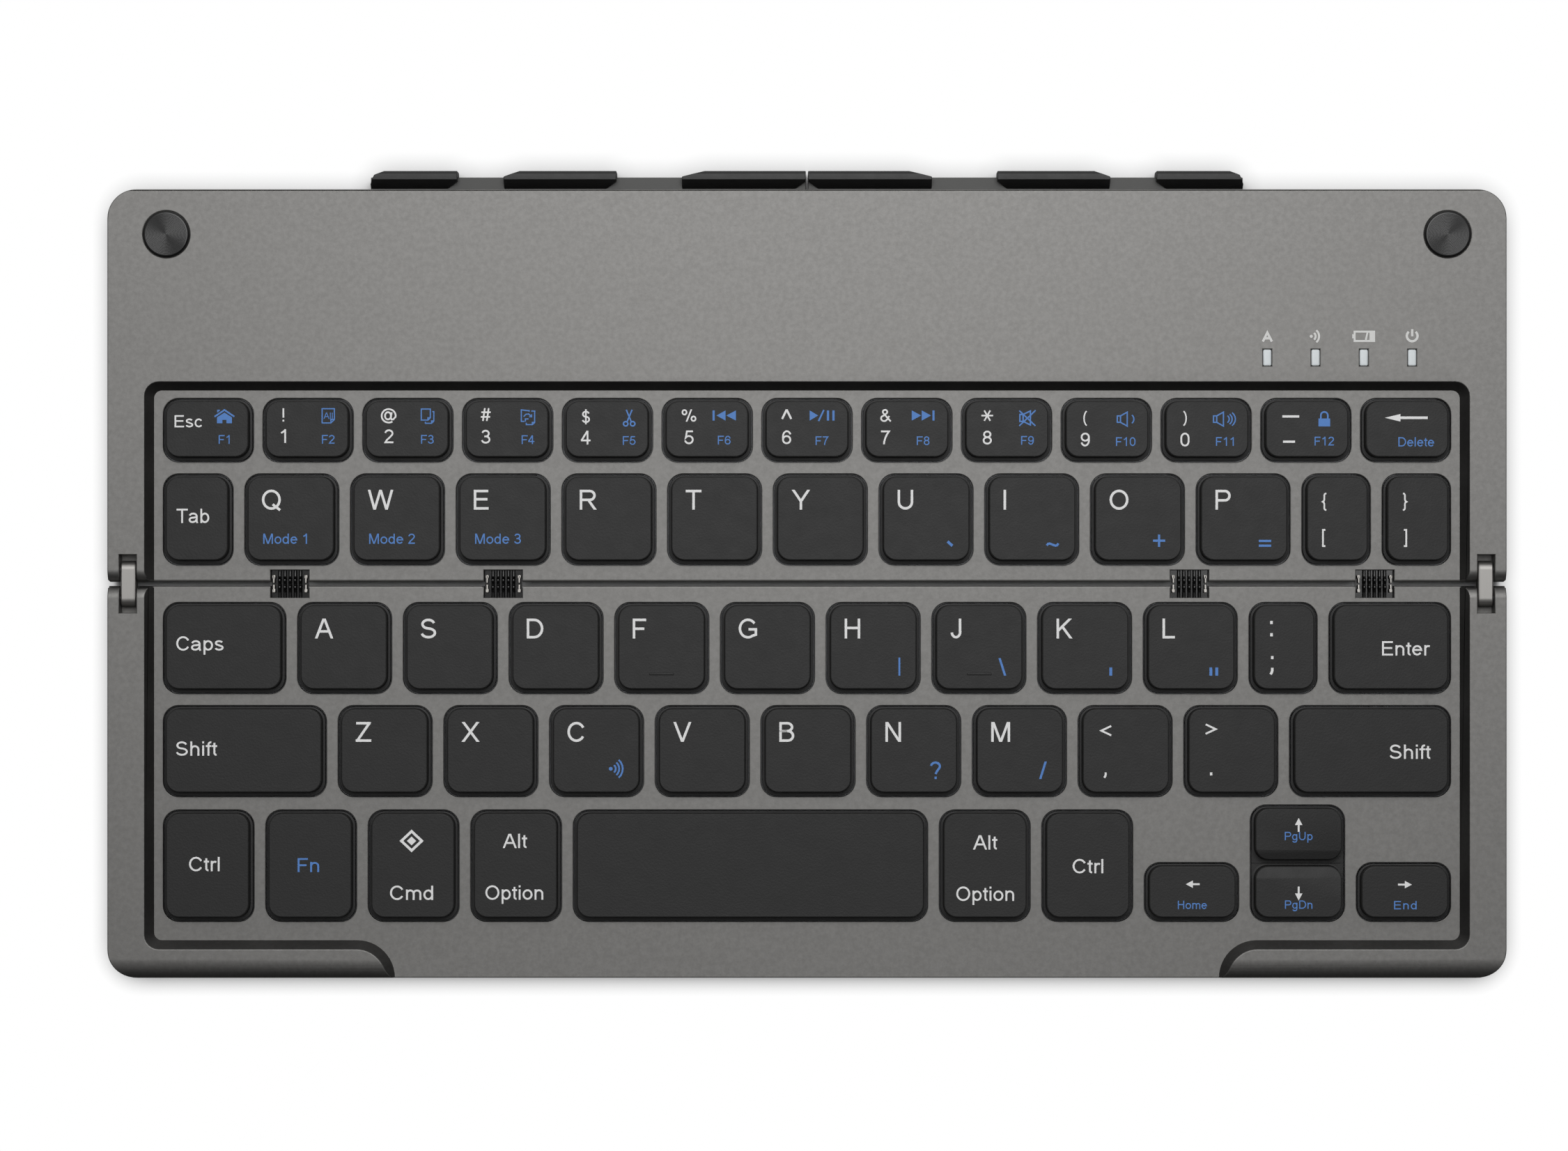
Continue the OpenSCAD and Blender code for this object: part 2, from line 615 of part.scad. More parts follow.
module power_switch() in_upper() color(cap_black)
    translate([0, switch_u, knob_z]) box([body_w / 2 - wall_t - 2.7, -knob_size[0] / 2, -knob_size[1] / 2],
        [body_w / 2 + knob_out, knob_size[0] / 2, knob_size[1] / 2]);

module indicator_windows() in_upper() color("#c8d2d7") for (x = lamp_x)
    box([x - lamp_size[0] / 2, lamp_at[1] - lamp_size[1] / 2, board_top_z + lamp_led_h + 0.1],
        [x + lamp_size[0] / 2, lamp_at[1] + lamp_size[1] / 2, rim_z]);

// ---- Rubber and screws ----

module bumpers() in_upper() color(rubber_black) each_side() translate([bumper_at[0], bumper_at[1], rim_z])
    rotate_extrude() polygon([
        [0, -seat_d], [bumper_r, -seat_d], [bumper_r, bumper_rise - bumper_chamfer],
        [bumper_r - bumper_chamfer, bumper_rise], [0, bumper_rise]]);

module feet(places) for (p = places) translate([p[0], p[1], 0]) linear_extrude(floor_z + seat_d) foot_plan();

module upper_feet() in_upper() color(rubber_black) feet(upper_feet_at);

module lower_feet() in_lower() color(rubber_black) feet(lower_feet_at);

module screws(places) for (p = places) translate([p[0], p[1], 0]) {
    translate([0, 0, floor_z + 0.05]) difference() {
        cylinder(h = screw_head_t - 0.05, r = screw_head_r);
        translate([0, 0, -cut]) cylinder(h = cut + 0.25, r = 0.6, $fn = 6);
    }
    translate([0, 0, floor_z + 0.4]) cylinder(h = screw_top_z - floor_z - 0.4, r = screw_r);
}

module upper_screws() in_upper() color("#55565a") screws(upper_screws_at);

module lower_screws() in_lower() color("#55565a") screws(lower_screws_at);

// ---- Hinge ----

// A link is a flat bar with round ends, bored for the two pins
module link() color(link_grey) difference() {
    along_x(link_w) {
        translate([0, pivot_z]) square([link_pitch, 2 * link_r], center = true);
        for (s = [-1, 1]) translate([s * pivot_u, pivot_z]) circle(link_r);
    }
    for (s = [-1, 1]) translate([0, s * pivot_u, pivot_z]) rotate([0, 90, 0])
        cylinder(h = link_w + 2 * cut, r = pin_r + pin_gap, center = true);
}

module left_link() in_upper() translate([-link_x, 0, 0]) link();

module right_link() in_upper() translate([link_x, 0, 0]) link();

module hinge_pins() each_side() translate([link_x, pivot_u, pivot_z]) rotate([0, 90, 0])
    cylinder(h = slot_w + 2 * pin_hold - 0.1, r = pin_r, center = true);

module upper_hinge_pins() in_upper() color("#c4c6c8") hinge_pins();

module lower_hinge_pins() in_lower() color("#c4c6c8") hinge_pins();

module hinge_ribbons() in_upper() color("#1c1c1c") for (x = window_x) for (i = [0:wires - 1])
    translate([x + (i - (wires - 1) / 2) * wire_pitch, 0, wire_z]) rotate([90, 0, 0])
        cylinder(h = 2 * wire_end_u, r = wire_r, center = true);

// ---- Tilt legs ----

// The right leg: a plate from the barrel to the edge that shows behind the body
module leg() color(leg_grey) {
    near_x = ear_w / 2 + leg_room;
    along = leg_x - near_x;
    translate([near_x + along / 2, leg_pivot_u, leg_pivot_z]) rotate([0, 90, 0]) {
        cylinder(h = along, r = barrel_r, center = true);
        cylinder(h = along + 2 * (leg_room + pocket_wall - 0.1), r = stud_r, center = true);
    }
    translate([0, 0, leg_pivot_z - leg_t / 2]) linear_extrude(leg_t) {
        translate([near_x, leg_pivot_u]) square([along, leg_l]);
        translate([leg_split / 2, leg_pivot_u + barrel_r + leg_room])
            square([leg_x - leg_split / 2, leg_l - barrel_r - leg_room]);
    }
}

// Section of a shoe: a ridge with a flat top, a slope towards the body and a lip below
module shoe_profile() {
    tip = half_d + shoe_out;
    polygon([[shoe_near_u, shoe_low_z + 0.6], [shoe_near_u + 0.6, shoe_low_z],
             [tip - 0.5, shoe_low_z], [tip, shoe_low_z + 0.5],
             [tip, shoe_top_z - 0.5], [tip - 0.5, shoe_top_z], [shoe_near_u + 1.5, shoe_top_z],
             [shoe_near_u, leg_pivot_z + leg_t / 2]]);
}

// Plan of a shoe from its inner end to its outer end; a ramped end slopes back to the leg's edge
module shoe_plan(inner, outer, ramp) {
    tip = half_d + shoe_out + cut;
    edge = half_d + leg_out;
    near = shoe_near_u - cut;
    polygon(ramp > 0
        ? [[inner + 1.8, near], [inner + 1.8, shoe_near_u], [inner, shoe_near_u + 1.3], [inner, tip],
           [outer - ramp, tip], [outer - ramp, tip - cut], [outer, edge], [outer, near]]
        : [[inner + 1.8, near], [inner + 1.8, shoe_near_u], [inner, shoe_near_u + 1.3], [inner, tip],
           [outer - 2.4, tip], [outer - 2.4, tip - cut], [outer - 0.7, tip - cut - 0.7],
           [outer, tip - cut - 2.2], [outer, near]]);
}

module leg_shoes() color(rubber_black) difference() {
    intersection() {
        translate([leg_x / 2, 0, 0]) along_x(leg_x + 2 * cut) shoe_profile();
        linear_extrude(rim_z) {
            shoe_plan(leg_x - 15, leg_x, 0);
            shoe_plan(leg_x - 42.35, leg_x - 22.95, 2.75);
            shoe_plan(leg_split / 2, leg_x - 53.6, 3.9);
        }
    }
    box([-cut, leg_pivot_u, leg_pivot_z - leg_t / 2], [leg_x + cut, half_d + leg_out, leg_pivot_z + leg_t / 2]);
}

module right_leg() in_upper() leg();

module left_leg() in_upper() mirror([1, 0, 0]) leg();

module right_leg_shoes() in_upper() leg_shoes();

module left_leg_shoes() in_upper() mirror([1, 0, 0]) leg_shoes();

// ---- Key caps ----

module cap_slab(c, inset, low, high) translate([c[0], c[1], low]) linear_extrude(high - low)
    rounded_rect(c[2] - 2 * inset, c[3] - 2 * inset, opening_r - cap_gap);

// A hollow cap: a straight skirt up to the ledge, and a top part that leans in a little
module cap(c) difference() {
    union() {
        cap_slab(c, cap_gap, cap_low_z, ledge_z);
        hull($fn = cap_fn) {
            cap_slab(c, cap_gap + cap_ledge, deck_z - 0.5, deck_z, $fn = cap_fn);
            cap_slab(c, cap_gap + cap_ledge + cap_draft, cap_top_z - 0.01, cap_top_z, $fn = cap_fn);
        }
    }
    translate([c[0], c[1], cap_low_z - cut]) linear_extrude(cap_room_z - cap_low_z + cut)
        square([c[2] - 2 * cap_gap - 2 * cap_wall, c[3] - 2 * cap_gap - 2 * cap_wall], center = true);
}

module caps(cells, picks) color(cap_black) for (i = picks) cap(cells[i]);

module homing_bar(c) color(cap_black)
    translate([c[0], c[1] + c[3] / 2 - homing_front, cap_top_z]) cube([homing_l, 0.4, 0.3], center = true);

// The up and down caps dip towards each other
module dipped_cap(c) color(cap_black) difference() {
    cap(c);
    translate([c[0], pair_cell[1], cap_top_z]) along_x(c[2])
        polygon([[-2 * dip_l, dip_d], [0, -dip_d], [2 * dip_l, dip_d]]);
}

module esc_key() in_upper() caps(upper_caps, [0]);
module keys_1_2_3() in_upper() caps(upper_caps, [1, 2, 3]);
module keys_4_5_6() in_upper() caps(upper_caps, [4, 5, 6]);
module keys_7_8_9() in_upper() caps(upper_caps, [7, 8, 9]);
module keys_0_dash() in_upper() caps(upper_caps, [10, 11]);
module delete_key() in_upper() caps(upper_caps, [12]);
module tab_key() in_upper() caps(upper_caps, [13]);
module keys_q_w_e() in_upper() caps(upper_caps, [14, 15, 16]);
module keys_r_t_y() in_upper() caps(upper_caps, [17, 18, 19]);
module keys_u_i_o() in_upper() caps(upper_caps, [20, 21, 22]);
module keys_p_brackets() in_upper() caps(upper_caps, [23, 24, 25]);
module caps_key() in_lower() caps(lower_caps, [0]);
module keys_a_s_d() in_lower() caps(lower_caps, [1, 2, 3]);
module keys_f_g_h() in_lower() {
    caps(lower_caps, [4, 5, 6]);
    homing_bar(lower_caps[4]);
}
module keys_j_k_l() in_lower() {
    caps(lower_caps, [7, 8, 9]);
    homing_bar(lower_caps[7]);
}
module colon_key() in_lower() caps(lower_caps, [10]);
module enter_key() in_lower() caps(lower_caps, [11]);
module left_shift_key() in_lower() caps(lower_caps, [12]);
module keys_z_x_c() in_lower() caps(lower_caps, [13, 14, 15]);
module keys_v_b_n() in_lower() caps(lower_caps, [16, 17, 18]);
module keys_m_comma_dot() in_lower() caps(lower_caps, [19, 20, 21]);
module right_shift_key() in_lower() caps(lower_caps, [22]);
module left_ctrl_key() in_lower() caps(lower_caps, [23]);
module fn_key() in_lower() caps(lower_caps, [24]);
module cmd_key() in_lower() caps(lower_caps, [25]);
module left_alt_key() in_lower() caps(lower_caps, [26]);
module space_key() in_lower() caps(lower_caps, [27]);
module right_alt_key() in_lower() caps(lower_caps, [28]);
module right_ctrl_key() in_lower() caps(lower_caps, [29]);
module left_arrow_key() in_lower() caps(lower_caps, [30]);
module up_arrow_key() in_lower() dipped_cap(up_cell);
module down_arrow_key() in_lower() dipped_cap(down_cell);
module right_arrow_key() in_lower() caps(lower_caps, [33]);

upper_top_cover();
upper_bottom_cover();
lower_top_cover();
lower_bottom_cover();
upper_key_plate();
lower_key_plate();
upper_domes();
lower_domes();
main_board();
battery();
charge_port();
power_switch();
indicator_windows();
bumpers();
upper_feet();
lower_feet();
upper_screws();
lower_screws();
left_link();
right_link();
upper_hinge_pins();
lower_hinge_pins();
hinge_ribbons();
left_leg();
right_leg();
left_leg_shoes();
right_leg_shoes();
esc_key();
keys_1_2_3();
keys_4_5_6();
keys_7_8_9();
keys_0_dash();
delete_key();
tab_key();
keys_q_w_e();
keys_r_t_y();
keys_u_i_o();
keys_p_brackets();
caps_key();
keys_a_s_d();
keys_f_g_h();
keys_j_k_l();
colon_key();
enter_key();
left_shift_key();
keys_z_x_c();
keys_v_b_n();
keys_m_comma_dot();
right_shift_key();
left_ctrl_key();
fn_key();
cmd_key();
left_alt_key();
space_key();
right_alt_key();
right_ctrl_key();
left_arrow_key();
up_arrow_key();
down_arrow_key();
right_arrow_key();
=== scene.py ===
import json
import math

import bmesh
import bpy
from mathutils import Matrix, Vector

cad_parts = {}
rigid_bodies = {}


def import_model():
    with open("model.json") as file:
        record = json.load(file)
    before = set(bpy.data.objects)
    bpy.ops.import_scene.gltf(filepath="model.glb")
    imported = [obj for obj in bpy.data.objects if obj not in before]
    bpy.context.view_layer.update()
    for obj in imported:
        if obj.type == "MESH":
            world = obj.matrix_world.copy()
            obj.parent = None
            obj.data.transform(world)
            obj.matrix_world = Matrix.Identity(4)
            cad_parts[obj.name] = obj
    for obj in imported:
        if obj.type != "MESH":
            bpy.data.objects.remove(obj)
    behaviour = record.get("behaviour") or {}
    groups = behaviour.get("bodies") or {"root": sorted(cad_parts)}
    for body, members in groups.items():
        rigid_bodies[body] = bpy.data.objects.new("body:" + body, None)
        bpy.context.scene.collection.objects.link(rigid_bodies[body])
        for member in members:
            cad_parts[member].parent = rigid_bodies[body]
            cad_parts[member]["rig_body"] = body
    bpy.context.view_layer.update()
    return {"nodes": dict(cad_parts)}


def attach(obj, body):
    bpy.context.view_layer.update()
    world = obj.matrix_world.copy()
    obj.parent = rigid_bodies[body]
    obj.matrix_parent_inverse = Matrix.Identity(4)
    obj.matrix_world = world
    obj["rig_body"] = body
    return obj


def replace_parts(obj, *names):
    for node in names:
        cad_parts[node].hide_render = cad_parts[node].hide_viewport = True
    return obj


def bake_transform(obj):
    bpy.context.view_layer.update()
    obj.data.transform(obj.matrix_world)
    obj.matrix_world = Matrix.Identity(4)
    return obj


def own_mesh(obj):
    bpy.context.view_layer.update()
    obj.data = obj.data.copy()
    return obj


mm = 0.001  # the frame is in metres, the dictionaries below are in millimetres

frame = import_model()
print("frame loaded:", len(frame["nodes"]), "nodes")


def srgb(hexColour):
    # sRGB hex to the linear values that sockets take
    parts = [int(hexColour[i:i + 2], 16) / 255 for i in (1, 3, 5)]
    return [c / 12.92 if c <= 0.04045 else ((c + 0.055) / 1.055) ** 2.4 for c in parts] + [1]


def addNode(tree, kind, settings=None, links=None):
    # settings are properties or socket values, links are the outputs that feed its sockets
    node = tree.nodes.new("ShaderNode" + kind)
    for key, value in (settings or {}).items():
        if isinstance(key, str) and hasattr(node, key):
            setattr(node, key, value)
        else:
            node.inputs[key].default_value = value
    for key, output in (links or {}).items():
        tree.links.new(output, node.inputs[key])
    return node


def newMaterial(name, settings):
    material = bpy.data.materials.new(name)
    material.use_nodes = True
    tree = material.node_tree
    shader = tree.nodes["Principled BSDF"]
    for key, value in settings.items():
        shader.inputs[key].default_value = value
    place = addNode(tree, "TexCoord").outputs["Object"]
    return material, tree, shader, place


def tableOf(text):
    # each line is a name and what belongs to it; a line that starts with a space goes on with the one above
    return dict(line.split(" ", 1) for line in text.strip().replace("\n ", " ").split("\n"))


def bodyOf(node):
    return frame["nodes"][node]["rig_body"]


def newObject(name, data):
    made = bpy.data.objects.new(name, data)
    bpy.context.scene.collection.objects.link(made)
    return made


def addPiece(name, bm, material, body=None, smoothAngle=20):
    # a finished bmesh becomes a piece, which rides on a body if one is given
    limit = math.radians(smoothAngle)
    for face in bm.faces:
        face.smooth = True
    for edge in bm.edges:
        edge.smooth = edge.calc_face_angle(math.pi) < limit
    mesh = bpy.data.meshes.new(name)
    bm.to_mesh(mesh)
    bm.free()
    mesh.materials.append(material)
    piece = newObject(name, mesh)
    if body:
        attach(piece, body)
    return piece


def pour(target, part, matrix=None):
    # the shape of one bmesh goes into another, moved by a matrix if there is one
    mesh = bpy.data.meshes.new("part")
    part.to_mesh(mesh)
    if matrix:
        mesh.transform(matrix)
    target.from_mesh(mesh)
    bpy.data.meshes.remove(mesh)


def mergedCopy(node, flat=True):
    # a CAD node's loose triangles joined, and merged into flat faces
    bm = bmesh.new()
    bm.from_mesh(frame["nodes"][node].data)
    bmesh.ops.remove_doubles(bm, verts=bm.verts, dist=1e-6)
    if flat:
        bmesh.ops.dissolve_limit(bm, angle_limit=math.radians(0.5), verts=bm.verts, edges=bm.edges)
    return bm


def cutAcross(bm, place, normal, **more):
    # a flat cut through the whole shape
    return bmesh.ops.bisect_plane(bm, geom=bm.verts[:] + bm.edges[:] + bm.faces[:], plane_co=place,
                                  plane_no=normal, **more)["geom_cut"]


def softened(node, name, material, rounds, segments=2, reshape=None, shadedWalls=None):
    # a copy of a CAD node with its outer edges rounded off, which stands for the node;
    # each round is a width and what picks its edges, and the last test picks the faces marked as walls, which
    # get painted shade
    sharp = math.radians(30)  # what bends less than this stays as it is
    bm = mergedCopy(node)
    if reshape:
        reshape(bm)
    for width, picked in rounds:
        edges = [e for e in bm.edges if e.is_convex and e.calc_face_angle(0) > sharp and picked(e)]
        bmesh.ops.bevel(bm, geom=edges, offset=width * mm, offset_type="OFFSET", segments=segments,
                        profile=0.5, affect="EDGES", material=-1, clamp_overlap=False)
    if shadedWalls:
        # the marked faces get painted shade from the cover's material
        mark = bm.faces.layers.float.new("wall")
        for face in bm.faces:
            face[mark] = 1.0 if shadedWalls(face) else 0.0
    piece = addPiece(name, bm, material, bodyOf(node))
    piece.modifiers.new("flatFaces", "WEIGHTED_NORMAL").keep_sharp = True  # only the rounds shade as round
    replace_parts(piece, node)
    return piece


def anyEdge(edge):
    return True


def finishNode(node, material):
    # a CAD node whose shape is right keeps it, and gets its finish
    piece = frame["nodes"][node]
    piece.data.materials.clear()
    piece.data.materials.append(material)


def islands(node):
    # the separate solids of a CAD node from left to right: (lowest, highest) corner of each
    bm = mergedCopy(node, flat=False)
    left = set(bm.verts)
    boxes = []
    while left:
        stack = [left.pop()]
        found = list(stack)
        while stack:
            for edge in stack.pop().link_edges:
                for vert in edge.verts:
                    if vert in left:
                        left.remove(vert)
                        stack.append(vert)
                        found.append(vert)
        axes = [[v.co[i] / mm for v in found] for i in range(3)]
        boxes.append((Vector([min(a) for a in axes]), Vector([max(a) for a in axes])))
    bm.free()
    return sorted(boxes, key=lambda b: b[0].x)


def flatSheet(bm, middle, width, depth, rows=1):
    # a flat sheet, in millimetres
    made = bmesh.ops.create_grid(bm, x_segments=1, y_segments=rows, size=0.5)["verts"]
    bmesh.ops.scale(bm, verts=made, vec=(width * mm, depth * mm, 1))
    bmesh.ops.translate(bm, verts=made, vec=Vector(middle) * mm)
    return made


def block(centre, size, radius):
    # a box with rounded edges, in millimetres
    bm = bmesh.new()
    bmesh.ops.create_cube(bm, size=1.0)
    bmesh.ops.scale(bm, verts=bm.verts, vec=Vector(size) * mm)
    bmesh.ops.bevel(bm, geom=bm.edges[:], offset=radius * mm, offset_type="OFFSET", segments=2,
                    profile=0.5, affect="EDGES", material=-1)
    bmesh.ops.translate(bm, verts=bm.verts, vec=Vector(centre) * mm)
    return bm


cameraSet = {
    "above": (-3.94, -0.2),     # the point of the rim's plane in the middle of the view
    "rim": 7.0,                 # height of that plane
    "distance": 800.0,
    "viewWidth": 268.9,         # width of the view at the rim
    "sensor": 36.0,
}
cameraData = bpy.data.cameras.new("camera")
cameraData.sensor_width = cameraSet["sensor"]
cameraData.lens = cameraSet["sensor"] * cameraSet["distance"] / cameraSet["viewWidth"]
cameraData.clip_start = 0.01
cameraData.clip_end = 20
camera = newObject("camera", cameraData)
camera.location = (cameraSet["above"][0] * mm, cameraSet["above"][1] * mm,
                   (cameraSet["rim"] + cameraSet["distance"]) * mm)
bpy.context.scene.camera = camera
bpy.context.scene.view_settings.view_transform = "Standard"
print("camera placed")


def dress(tree, shader, colour, dullness, roughness, height, strength, heightMm):
    # colour goes straight in, one pattern makes the surface duller or glossier, and another is its relief
    dull = addNode(tree, "MapRange", {"To Min": roughness[0], "To Max": roughness[1]}, {"Value": dullness})
    relief = addNode(tree, "Bump", {"Strength": strength, "Distance": heightMm * mm}, {"Height": height})
    for socket, output in (("Base Color", colour), ("Roughness", dull.outputs["Result"]),
                           ("Normal", relief.outputs["Normal"])):
        tree.links.new(output, shader.inputs[socket])


def coverMetalWithWallShade():
    # aluminium, bead blasted and anodised grey: an even satin with a faint cloudiness; the walls
    # of the recess get darker tones, which are painted shade
    look = {"dark": "#81807e", "light": "#8a8987", "wallShadeDark": "#5a5958", "wallShadeLight": "#605f5e",
            "cloudMm": 0.85, "ends": (0.36, 0.64), "gritMm": 0.22, "gritHeightMm": 0.01,
            "roughness": (0.5, 0.58)}
    material, tree, shader, place = newMaterial("coverMetalWithWallShade", {"Metallic": 1.0})
    cloud = addNode(tree, "TexNoise", {"Scale": 1 / (look["cloudMm"] * mm), "Detail": 5.0, "Roughness": 0.68},
                    {"Vector": place})
    wall = addNode(tree, "Attribute", {"attribute_name": "wall"})
    tones = []
    for names in (("dark", "light"), ("wallShadeDark", "wallShadeLight")):
        tone = addNode(tree, "ValToRGB", links={"Fac": cloud.outputs["Fac"]})
        for element, position, name in zip(tone.color_ramp.elements, look["ends"], names):
            element.position = position
            element.color = srgb(look[name])
        tones.append(tone.outputs["Color"])
    # faces marked as walls take the darker tones: painted shade in the recess
    colour = addNode(tree, "Mix", {"data_type": "RGBA"},
                     {"Factor": wall.outputs["Fac"], "A": tones[0], "B": tones[1]})
    grit = addNode(tree, "TexNoise", {"Scale": 1 / (look["gritMm"] * mm), "Detail": 2.0}, {"Vector": place})
    dress(tree, shader, colour.outputs["Result"], grit.outputs["Fac"], look["roughness"], grit.outputs["Fac"],
          strength=0.5, heightMm=look["gritHeightMm"])
    return material


def grainedPlastic(name, look):
    # moulded in a tool with a fine leather grain: matt, with small shallow cells and a slightly uneven tone
    material, tree, shader, place = newMaterial(name, {"IOR": look["ior"]})
    tone = addNode(tree, "TexNoise", {"Scale": 1 / (look["cloudMm"] * mm), "Detail": 3.0}, {"Vector": place})
    colour = addNode(tree, "Mix", {"data_type": "RGBA", "A": srgb(look["dark"]), "B": srgb(look["light"])},
                     {"Factor": tone.outputs["Fac"]})
    cells = addNode(tree, "TexVoronoi",
                    {"feature": "SMOOTH_F1", "Scale": 1 / (look["cellMm"] * mm), "Smoothness": 0.8},
                    {"Vector": place})
    dress(tree, shader, colour.outputs["Result"], tone.outputs["Fac"], look["roughness"],
          cells.outputs["Distance"], look["strength"], look["heightMm"])
    return material


def workedSteel(name, look):
    # rolled, turned or stamped metal: one colour broken by fine scratches in one direction
    material, tree, shader, place = newMaterial(name, {"Metallic": 1.0})
    stretch = addNode(tree, "Mapping", {"Scale": look["stretch"]}, {"Vector": place})
    lines = addNode(tree, "TexNoise",
                    {"Scale": 1 / (look["lineMm"] * mm), "Detail": 3.0}, {"Vector": stretch.outputs["Vector"]})
    colour = addNode(tree, "Mix", {"data_type": "RGBA", "A": srgb(look["dark"]), "B": srgb(look["light"])},
                     {"Factor": lines.outputs["Fac"]})
    dress(tree, shader, colour.outputs["Result"], lines.outputs["Fac"], look["roughness"], lines.outputs["Fac"],
          strength=0.3, heightMm=0.004)
    return material


def printedInk(name, light, dark):
    # two-part pad printing ink: opaque and matt, a little thinner in places
    material, tree, shader, place = newMaterial(name, {"Roughness": 0.6, "IOR": 1.45})
    thickness = addNode(tree, "TexNoise", {"Scale": 1 / (0.25 * mm), "Detail": 2.0}, {"Vector": place})
    colour = addNode(tree, "Mix", {"data_type": "RGBA", "A": srgb(light), "B": srgb(dark)},
                     {"Factor": thickness.outputs["Fac"]})
    tree.links.new(colour.outputs["Result"], shader.inputs["Base Color"])
    return material


coverFinish = coverMetalWithWallShade()
# ABS key caps
capFinish = grainedPlastic("capAbs", {
    "dark": "#181818", "light": "#1c1c1c", "cloudMm": 2.5, "cellMm": 0.3, "heightMm": 0.022, "strength": 0.7,
    "roughness": (0.5, 0.62), "ior": 1.5})
# hard rubber of the leg shoes, feet and bumpers
shoeFinish = grainedPlastic("shoeRubber", {
    "dark": "#151515", "light": "#1b1b1b", "cloudMm": 1.5, "cellMm": 0.2, "heightMm": 0.008, "strength": 0.5,
    "roughness": (0.42, 0.55), "ior": 1.52})
bumperFinish = grainedPlastic("bumperRubber", {
    "dark": "#0c0c0c", "light": "#111111", "cloudMm": 1.5, "cellMm": 0.15, "heightMm": 0.002, "strength": 0.3,
    "roughness": (0.26, 0.32), "ior": 1.55})
# glass-filled nylon of the legs and the switch knob
legFinish = grainedPlastic("legNylon", {
    "dark": "#383836", "light": "#434341", "cloudMm": 2.0, "cellMm": 0.25, "heightMm": 0.008, "strength": 0.4,
    "roughness": (0.42, 0.5), "ior": 1.53})
# silicone of the domes and of the wires in the hinge
domeFinish = grainedPlastic("domeSilicone", {
    "dark": "#b9b8b2", "light": "#c9c8c2", "cloudMm": 1.2, "cellMm": 0.2, "heightMm": 0.003, "strength": 0.3,
    "roughness": (0.45, 0.55), "ior": 1.41})
wireFinish = grainedPlastic("wireSilicone", {
    "dark": "#050505", "light": "#090909", "cloudMm": 0.8, "cellMm": 0.12, "heightMm": 0.001, "strength": 0.2,
    "roughness": (0.1, 0.14), "ior": 1.6})
# glass-fibre board under green lacquer
boardFinish = grainedPlastic("boardLacquer", {
    "dark": "#123d26", "light": "#1a4a30", "cloudMm": 3.0, "cellMm": 0.4, "heightMm": 0.004, "strength": 0.4,
    "roughness": (0.25, 0.35), "ior": 1.55})
# light diffusing polycarbonate of the lamp windows
windowFinish = grainedPlastic("windowPolycarbonate", {
    "dark": "#dde4e7", "light": "#eaf0f2", "cloudMm": 0.7, "cellMm": 0.15, "heightMm": 0.002, "strength": 0.2,
    "roughness": (0.3, 0.38), "ior": 1.58})
linkFinish = workedSteel("linkSteel", {
    "dark": "#a09e9b", "light": "#adaba8", "lineMm": 0.3, "stretch": (1, 0.15, 1), "roughness": (0.42, 0.52)})
screwFinish = workedSteel("screwSteel", {
    "dark": "#4a4b4f", "light": "#5c5d61", "lineMm": 0.3, "stretch": (1, 1, 1), "roughness": (0.3, 0.45)})
clipFinish = workedSteel("clipSteel", {
    "dark": "#a5a29e", "light": "#b8b5b0", "lineMm": 0.2, "stretch": (1, 0.2, 1), "roughness": (0.3, 0.4)})
plateFinish = workedSteel("plateSteel", {
    "dark": "#77787a", "light": "#8b8c8e", "lineMm": 0.5, "stretch": (0.1, 1, 1), "roughness": (0.35, 0.45)})
foilFinish = workedSteel("batteryFoil", {
    "dark": "#a4a6a9", "light": "#b9bbbd", "lineMm": 2.0, "stretch": (1, 1, 1), "roughness": (0.3, 0.5)})
inks = {"white": printedInk("whiteInk", "#ffffff", "#f4f4f4"),
        "blue": printedInk("blueInk", "#5f93dc", "#5687cf")}
greyInk = printedInk("greyInk", "#ededeb", "#e2e2e0")
print("materials made")

coverSet = {
    "edge": 0.15,        # rounding of the edges that are seen from above
    "hingeEdge": 0.35,  # rounding of the deck's edge along the hinge
    "trayEdge": 0.12,
    "lowest": 4.7,       # the edges below this stay sharp
    "hingeLine": -1.65, "hingeReach": 0.6,
    # the rolled front edge: its end and foot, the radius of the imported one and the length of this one
    "frontEnd": -69.35, "frontFoot": 5.0, "frontRadius": 2.0, "frontLength": 3.4, "frontCuts": 6,
    "frontSlack": 0.02,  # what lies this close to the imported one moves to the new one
    # where the walls of the recess are, whose faces get painted shade: between these heights, this far to the
    # sides and to the rear
    "wallFoot": 4.85, "wallTop": 6.9, "wallSide": 114.7, "wallRear": 34.5,
    # how much their normals may point up, and in the front half also to the front
    "wallUp": 0.7, "wallForward": 0.3,
}


def alongHinge(edge):
    return all(v.co.z > coverSet["lowest"] * mm
               and abs(v.co.y / mm - coverSet["hingeLine"]) < coverSet["hingeReach"] for v in edge.verts)


def aroundDeck(edge):
    # the edges of the rim and of the deck, but not those of the small hinge windows
    return all(v.co.z > coverSet["lowest"] * mm for v in edge.verts) and not alongHinge(edge)


